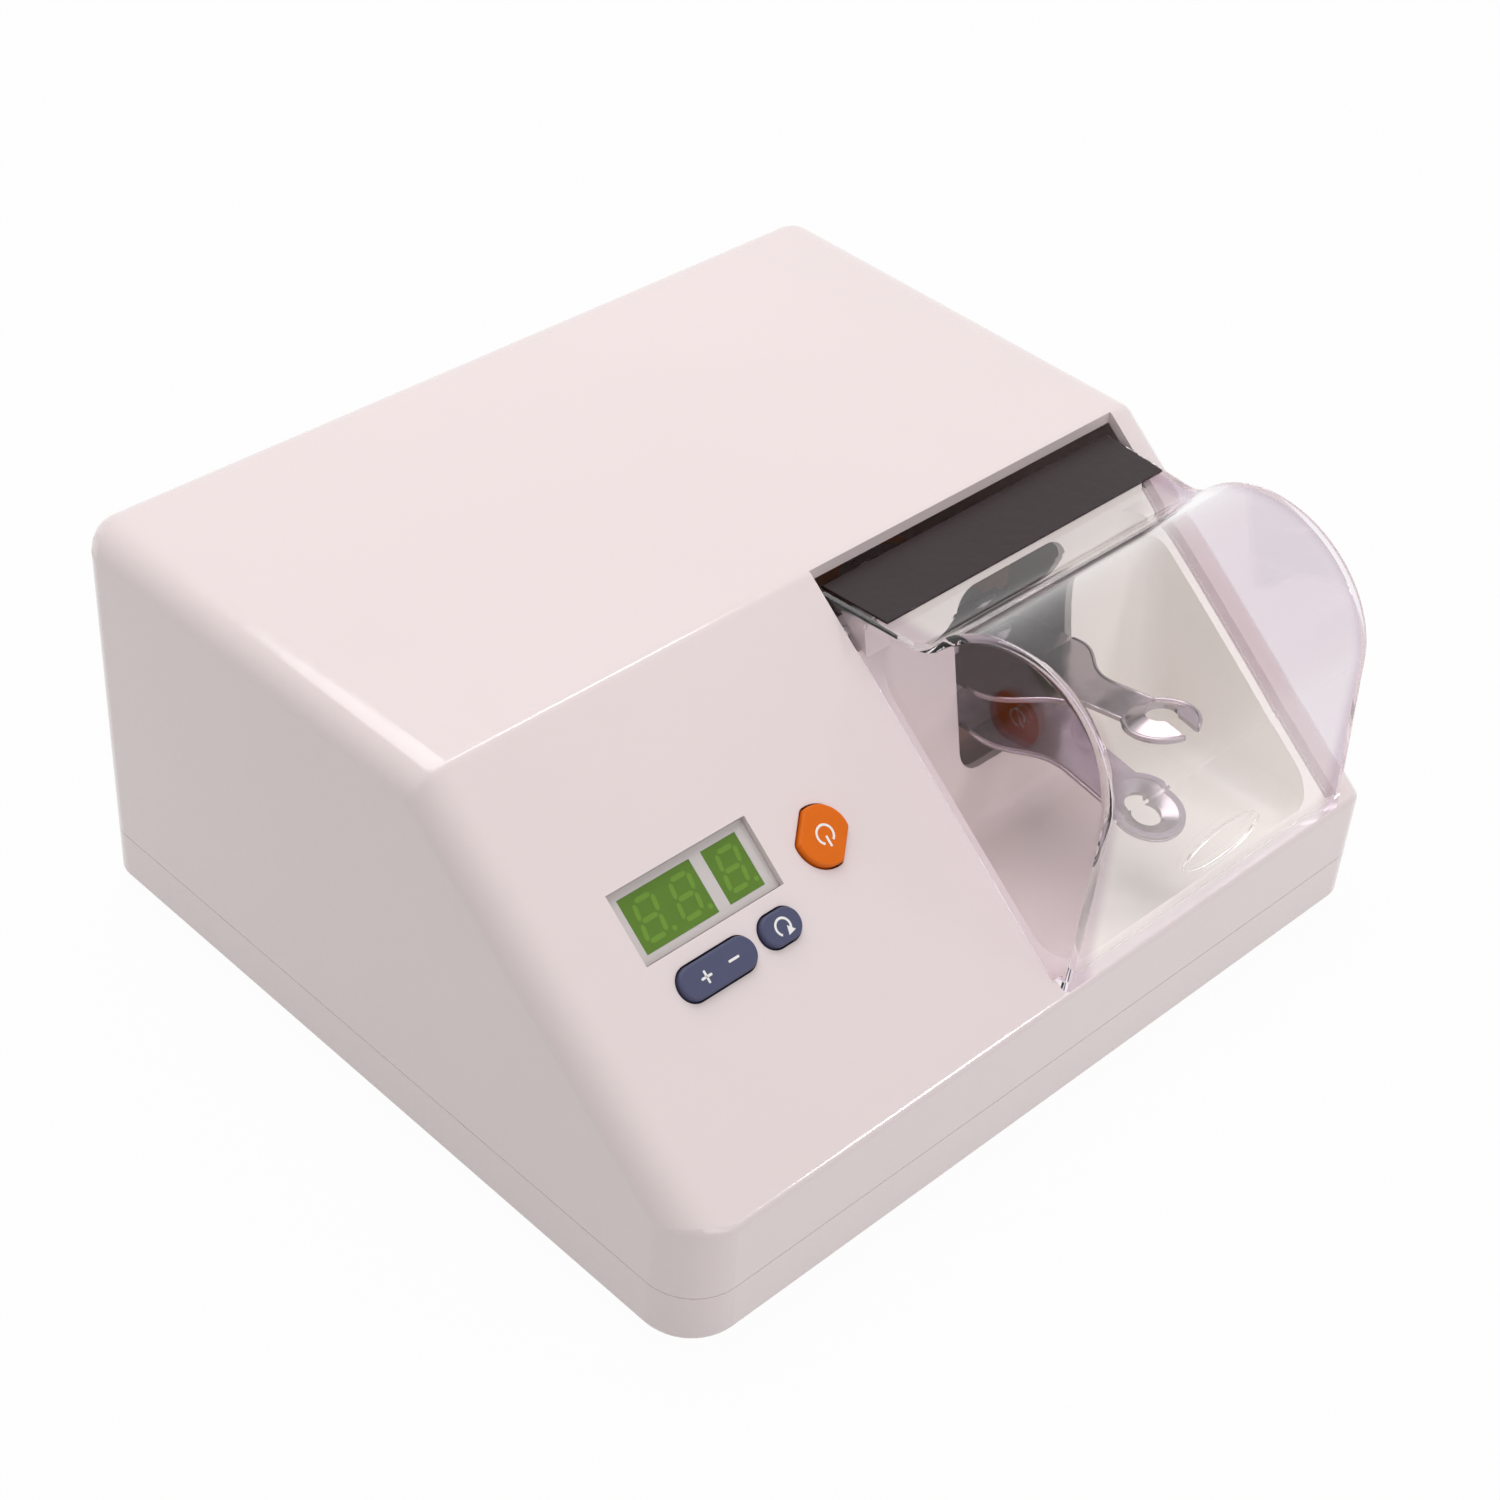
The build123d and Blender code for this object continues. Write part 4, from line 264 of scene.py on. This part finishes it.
# Each arm has its edges rolled over in the press: a fine bead follows the outline from
# the bend to the ring, and another runs round the rim of the ring.
arm_spread = math.radians(10.0)
arm_bend = Vector((0.0504, -0.0395, 0.061))
arm_half_block = 0.005
arm_half_width = 0.016
neck_half_width = 0.0055
neck_run = 0.02234
ring_run = 0.04011
ring_radius = 0.0087
bead_radius = 0.0005
bead_rise = 0.0010


def on_arm(side, across, along):
    """A point on an arm's outer face, across from its middle line and along from the bend."""
    outward = Vector((0.0, math.sin(arm_spread), side * math.cos(arm_spread)))
    forward = Vector((0.0, -math.cos(arm_spread), side * math.sin(arm_spread)))
    root = arm_bend + Vector((0.0, 0.0, side * arm_half_block))
    return root + Vector((across, 0.0, 0.0)) + forward * along + outward * bead_rise


for side, rim_name in ((1, "upper_arm_rim"), (-1, "lower_arm_rim")):
    beads = []
    meet = ring_run - math.sqrt(ring_radius**2 - neck_half_width**2)
    for hand in (-1, 1):
        wide = hand * arm_half_width
        narrow = hand * neck_half_width
        bpy.ops.object.select_all(action="DESELECT")
        bpy.ops.curve.primitive_bezier_curve_add()
        bead = bpy.context.object
        line = bead.data.splines[0]
        line.bezier_points.add(1)
        stops = (
            (on_arm(side, wide, 0.0), on_arm(side, wide, -0.004), on_arm(side, wide, neck_run / 2)),
            (on_arm(side, narrow, neck_run), on_arm(side, narrow, neck_run / 2),
             on_arm(side, narrow, neck_run + 0.003)),
            (on_arm(side, narrow, meet), on_arm(side, narrow, meet - 0.003), on_arm(side, narrow, meet + 0.003)),
        )
        for knot, (place, before, after) in zip(line.bezier_points, stops):
            knot.handle_left_type = "FREE"
            knot.handle_right_type = "FREE"
            knot.co = place
            knot.handle_left = before
            knot.handle_right = after
        bead.data.bevel_depth = bead_radius
        bead.data.bevel_resolution = 3
        bead.data.resolution_u = 24
        bead.data.use_fill_caps = True
        bpy.ops.object.convert(target="MESH")
        beads.append(bead)
    tilt = -arm_spread if side > 0 else math.pi + arm_spread
    bpy.ops.object.select_all(action="DESELECT")
    bpy.ops.mesh.primitive_torus_add(location=on_arm(side, 0.0, ring_run), rotation=(tilt, 0.0, 0.0),
                                     major_radius=ring_radius, minor_radius=bead_radius,
                                     major_segments=72, minor_segments=12)
    ring = bpy.context.object
    bpy.ops.object.mode_set(mode="EDIT")
    bpy.ops.mesh.select_all(action="DESELECT")
    bpy.ops.object.mode_set(mode="OBJECT")
    for corner in ring.data.vertices:
        behind = corner.co.y * side > 0 and abs(corner.co.x) < neck_half_width - 0.0002
        in_slot = side > 0 and corner.co.y < 0 and abs(corner.co.x) < 0.0023
        corner.select = behind or in_slot
    bpy.ops.object.mode_set(mode="EDIT")
    bpy.ops.mesh.delete(type="VERT")
    bpy.ops.mesh.select_all(action="SELECT")
    bpy.ops.mesh.fill_holes(sides=0)
    bpy.ops.mesh.normals_make_consistent(inside=False)
    bpy.ops.object.mode_set(mode="OBJECT")
    bpy.ops.object.transform_apply(location=True, rotation=True, scale=True)
    beads.append(ring)
    bpy.ops.object.select_all(action="DESELECT")
    for bead in beads:
        bead.select_set(True)
    bpy.context.view_layer.objects.active = ring
    bpy.ops.object.join()
    bpy.ops.object.origin_set(type="ORIGIN_CURSOR")
    ring.name = rim_name
    ring.data.materials.clear()
    ring.data.materials.append(spring_chrome)
    bpy.ops.object.shade_smooth()
    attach(ring, "fork")


# ---------------------------------------------------------------- clear cover
# The cover is injection-moulded acrylic: clear, faintly violet where it is thick,
# with a dark glossy film along its flat rear part that hides the hinge.
acrylic = bpy.data.materials.new("clear_acrylic")
acrylic.use_nodes = True
tree = acrylic.node_tree
clear = tree.nodes["Principled BSDF"]
cover_place = tree.nodes.new("ShaderNodeTexCoord")
across = tree.nodes.new("ShaderNodeSeparateXYZ")
off_middle = tree.nodes.new("ShaderNodeMath")
off_middle.operation = "SUBTRACT"
off_middle.inputs[1].default_value = 0.0504
to_cheek = tree.nodes.new("ShaderNodeMath")
to_cheek.operation = "ABSOLUTE"
cheek_share = tree.nodes.new("ShaderNodeMapRange")
cheek_share.inputs["From Min"].default_value = 0.0405
cheek_share.inputs["From Max"].default_value = 0.0440
tint = tree.nodes.new("ShaderNodeMix")
tint.data_type = "RGBA"
tint.inputs["A"].default_value = (0.985, 0.978, 0.982, 1)
tint.inputs["B"].default_value = (0.785, 0.705, 0.765, 1)
tree.links.new(cover_place.outputs["Object"], across.inputs[0])
tree.links.new(across.outputs["X"], off_middle.inputs[0])
tree.links.new(off_middle.outputs[0], to_cheek.inputs[0])
tree.links.new(to_cheek.outputs[0], cheek_share.inputs["Value"])
tree.links.new(cheek_share.outputs["Result"], tint.inputs["Factor"])
tree.links.new(tint.outputs["Result"], clear.inputs["Base Color"])
clear.inputs["Roughness"].default_value = 0.02
clear.inputs["IOR"].default_value = 1.49
clear.inputs["Transmission Weight"].default_value = 1.0
pass_light = tree.nodes.new("ShaderNodeBsdfTransparent")
pass_light.inputs["Color"].default_value = (1.0, 0.99, 1.0, 1)
acrylic_rays = tree.nodes.new("ShaderNodeLightPath")
soft_ray = tree.nodes.new("ShaderNodeMath")
soft_ray.operation = "MAXIMUM"
deep_ray = tree.nodes.new("ShaderNodeMath")
deep_ray.operation = "GREATER_THAN"
deep_ray.inputs[1].default_value = 4.5
pass_ray = tree.nodes.new("ShaderNodeMath")
pass_ray.operation = "MAXIMUM"
acrylic_mix = tree.nodes.new("ShaderNodeMixShader")
tree.links.new(acrylic_rays.outputs["Is Shadow Ray"], soft_ray.inputs[0])
tree.links.new(acrylic_rays.outputs["Is Diffuse Ray"], soft_ray.inputs[1])
tree.links.new(acrylic_rays.outputs["Ray Depth"], deep_ray.inputs[0])
tree.links.new(soft_ray.outputs[0], pass_ray.inputs[0])
tree.links.new(deep_ray.outputs[0], pass_ray.inputs[1])
tree.links.new(pass_ray.outputs[0], acrylic_mix.inputs[0])
tree.links.new(clear.outputs[0], acrylic_mix.inputs[1])
tree.links.new(pass_light.outputs[0], acrylic_mix.inputs[2])
tree.links.new(acrylic_mix.outputs[0], tree.nodes["Material Output"].inputs["Surface"])
film = moulded("dark_film", (0.024, 0.014, 0.016), 0.34, 60, 0.25, 300, 0.00010, 0.0, 0.25)
dress(acrylic, "hood_cover")
dress(film, "hood_strip")


# ---------------------------------------------------------------- display
# A grey window lies flush in the panel, over a grey bezel and two green display modules.
bezel_grey = moulded("bezel_grey", (0.68, 0.63, 0.62), 0.45, 60, 0.03, 500, 0.0001)
module_green = moulded("module_green", (0.108, 0.232, 0.012), 0.5, 180, 0.06, 900, 0.00004, 0.0, 0.1)
window_glass = bpy.data.materials.new("window_glass")
window_glass.use_nodes = True
pane = window_glass.node_tree.nodes["Principled BSDF"]
pane.inputs["Base Color"].default_value = (0.25, 0.25, 0.25, 1)
pane.inputs["Roughness"].default_value = 0.04
pane.inputs["Alpha"].default_value = 0.05
dress(bezel_grey, "display_bezel")
dress(module_green, "two_digit_display", "one_digit_display")
dress(window_glass, "display_window")

# The unlit digits show as seven slanting bars and a point, a shade lighter than the face
# of the module. They lie in the thin gap between the module and the window.
panel_low = Vector((0.0, -0.1015, 0.0355))
panel_turn = Matrix.Rotation(math.atan2(0.0685, 0.0860), 4, "X")
digit_places = (-80.35, -70.25, -56.9)
digit_up = 62.3
digit_depth = -1.665
digit_slant = 9.0
bar_width = 1.15
bar_thickness = 0.05
digit_light = moulded("digit_green", (0.165, 0.335, 0.024), 0.5, 180, 0.05, 900, 0.00004, 0.0, 0.1)


def on_panel(across, up, rise):
    """A point on the sloping panel: millimetres across, up the slope and proud of it."""
    return panel_low + panel_turn.to_3x3() @ (Vector((across, up, rise)) * 0.001)


def flat_mark(across, up, rise, length, width, thickness, turn, corner, steps):
    """A flat bar on the panel with its corners cut or rounded; turn is its angle in degrees."""
    bpy.ops.object.select_all(action="DESELECT")
    aim = panel_turn @ Matrix.Rotation(math.radians(turn), 4, "Z")
    bpy.ops.mesh.primitive_plane_add(size=0.001, location=on_panel(across, up, rise), rotation=aim.to_euler())
    mark = bpy.context.object
    mark.scale = (length, width, 1.0)
    bpy.ops.object.transform_apply(location=True, rotation=True, scale=True)
    bpy.ops.object.mode_set(mode="EDIT")
    bpy.ops.mesh.select_all(action="SELECT")
    bpy.ops.mesh.bevel(affect="VERTICES", offset=corner * 0.001, segments=steps)
    bpy.ops.object.mode_set(mode="OBJECT")
    wall = mark.modifiers.new("wall", "SOLIDIFY")
    wall.thickness = thickness * 0.001
    wall.offset = 0.0
    bpy.ops.object.modifier_apply(modifier="wall")
    return mark


def one_piece(name, marks, material, body):
    """Joins marks into one named piece that rides on a body."""
    bpy.ops.object.select_all(action="DESELECT")
    for mark in marks:
        mark.select_set(True)
    bpy.context.view_layer.objects.active = marks[0]
    bpy.ops.object.join()
    piece = bpy.context.object
    bpy.ops.object.origin_set(type="ORIGIN_CURSOR")
    piece.name = name
    piece.data.materials.clear()
    piece.data.materials.append(material)
    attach(piece, body)
    return piece


lean = math.tan(math.radians(digit_slant))
bars = []
for middle in digit_places:
    for rise in (-4.35, 0.0, 4.35):
        bars.append(flat_mark(middle + rise * lean, digit_up + rise, digit_depth, 4.2, bar_width,
                              bar_thickness, 0.0, 0.5, 1))
    for rise in (-2.17, 2.17):
        for hand in (-1, 1):
            bars.append(flat_mark(middle + hand * 2.55 + rise * lean, digit_up + rise, digit_depth,
                                  3.7, bar_width, bar_thickness, 90.0 - digit_slant, 0.5, 1))
    bars.append(flat_mark(middle + 3.85, digit_up - 4.4, digit_depth, 1.2, 1.2, bar_thickness, 0.0, 0.55, 4))
one_piece("digit_bars", bars, digit_light, "case")


# ---------------------------------------------------------------- keys
# Hard rubbery caps: one orange and two slate blue, all with a soft satin skin.
orange = moulded("orange_cap", (0.730, 0.145, 0.003), 0.42, 200, 0.05, 900, 0.00006, 0.0, 0.2)
slate = moulded("slate_cap", (0.070, 0.074, 0.145), 0.45, 200, 0.06, 900, 0.00006, 0.0, 0.3)
dress(orange, "start_key")
dress(slate, "time_key", "speed_key")

# White symbols are pad-printed on the caps: on and off, more and less, and a turning arrow.
symbol_white = moulded("symbol_white", (0.86, 0.84, 0.83), 0.50, 300, 0.02, 900, 0.00002)
cap_top = 1.42
print_thickness = 0.06
stroke = 0.56


def open_ring(across, up, radius, opening, gap):
    """A flat printed ring on the panel with a gap of that many degrees around opening."""
    bpy.ops.object.select_all(action="DESELECT")
    bpy.ops.mesh.primitive_torus_add(major_radius=radius * 0.001, minor_radius=stroke * 0.0005,
                                     major_segments=96, minor_segments=8)
    ring = bpy.context.object
    bpy.ops.object.mode_set(mode="EDIT")
    bpy.ops.mesh.select_all(action="DESELECT")
    bpy.ops.object.mode_set(mode="OBJECT")
    for corner in ring.data.vertices:
        angle = math.degrees(math.atan2(corner.co.y, corner.co.x))
        corner.select = abs((angle - opening + 180) % 360 - 180) < gap / 2
    bpy.ops.object.mode_set(mode="EDIT")
    bpy.ops.mesh.delete(type="VERT")
    bpy.ops.mesh.select_all(action="SELECT")
    bpy.ops.mesh.fill_holes(sides=0)
    bpy.ops.mesh.normals_make_consistent(inside=False)
    bpy.ops.object.mode_set(mode="OBJECT")
    ring.scale = (1.0, 1.0, print_thickness / stroke)
    ring.rotation_euler = panel_turn.to_euler()
    ring.location = on_panel(across, up, cap_top)
    bpy.ops.object.transform_apply(location=True, rotation=True, scale=True)
    return ring


def arrow_head(across, up, radius, heading):
    """A flat printed triangle on a cap whose point looks along heading, in degrees."""
    bpy.ops.object.select_all(action="DESELECT")
    aim = panel_turn @ Matrix.Rotation(math.radians(heading - 90.0), 4, "Z")
    bpy.ops.mesh.primitive_circle_add(vertices=3, radius=radius * 0.001, fill_type="NGON",
                                      location=on_panel(across, up, cap_top), rotation=aim.to_euler())
    head = bpy.context.object
    bpy.ops.object.transform_apply(location=True, rotation=True, scale=True)
    wall = head.modifiers.new("wall", "SOLIDIFY")
    wall.thickness = print_thickness * 0.001
    wall.offset = 0.0
    bpy.ops.object.modifier_apply(modifier="wall")
    return head


power_marks = [open_ring(-34.25, 58.4, 2.15, -90.0, 66.0),
               flat_mark(-34.25, 56.75, cap_top, 2.6, stroke, print_thickness, 90.0, 0.2, 3)]
one_piece("power_symbol", power_marks, symbol_white, "start_key")
speed_marks = [open_ring(-55.4, 46.45, 1.90, -87.0, 74.0),
               arrow_head(-54.15, 45.1, 1.25, -138.0)]
one_piece("speed_symbol", speed_marks, symbol_white, "speed_key")
time_marks = [flat_mark(-77.7, 46.0, cap_top, 2.95, stroke, print_thickness, 0.0, 0.2, 3),
              flat_mark(-77.7, 46.0, cap_top, 2.95, stroke, print_thickness, 90.0, 0.2, 3),
              flat_mark(-69.9, 46.2, cap_top, 2.95, stroke, print_thickness, 0.0, 0.2, 3)]
one_piece("time_symbols", time_marks, symbol_white, "time_key")


# ---------------------------------------------------------------- boards and mains parts
# Glass-epoxy boards, black moulded mains parts at the back, and a glass fuse.
board = moulded("circuit_board", (0.020, 0.115, 0.045), 0.35, 300, 0.20, 700, 0.0001)
black = moulded("black_moulding", (0.018, 0.018, 0.019), 0.38, 120, 0.15, 600, 0.00015)
fuse_glass = bpy.data.materials.new("fuse_glass")
fuse_glass.use_nodes = True
tube = fuse_glass.node_tree.nodes["Principled BSDF"]
tube.inputs["Base Color"].default_value = (0.93, 0.97, 0.97, 1)
tube.inputs["Roughness"].default_value = 0.03
tube.inputs["Transmission Weight"].default_value = 1.0
dress(board, "control_board", "power_board")
dress(black, "key_switches", "lid_switch", "motor_end_cap", "mains_inlet", "mains_switch_body",
      "mains_rocker", "fuse_holder", "fuse_cap", "power_capacitors")
dress(fuse_glass, "fuse_tube")
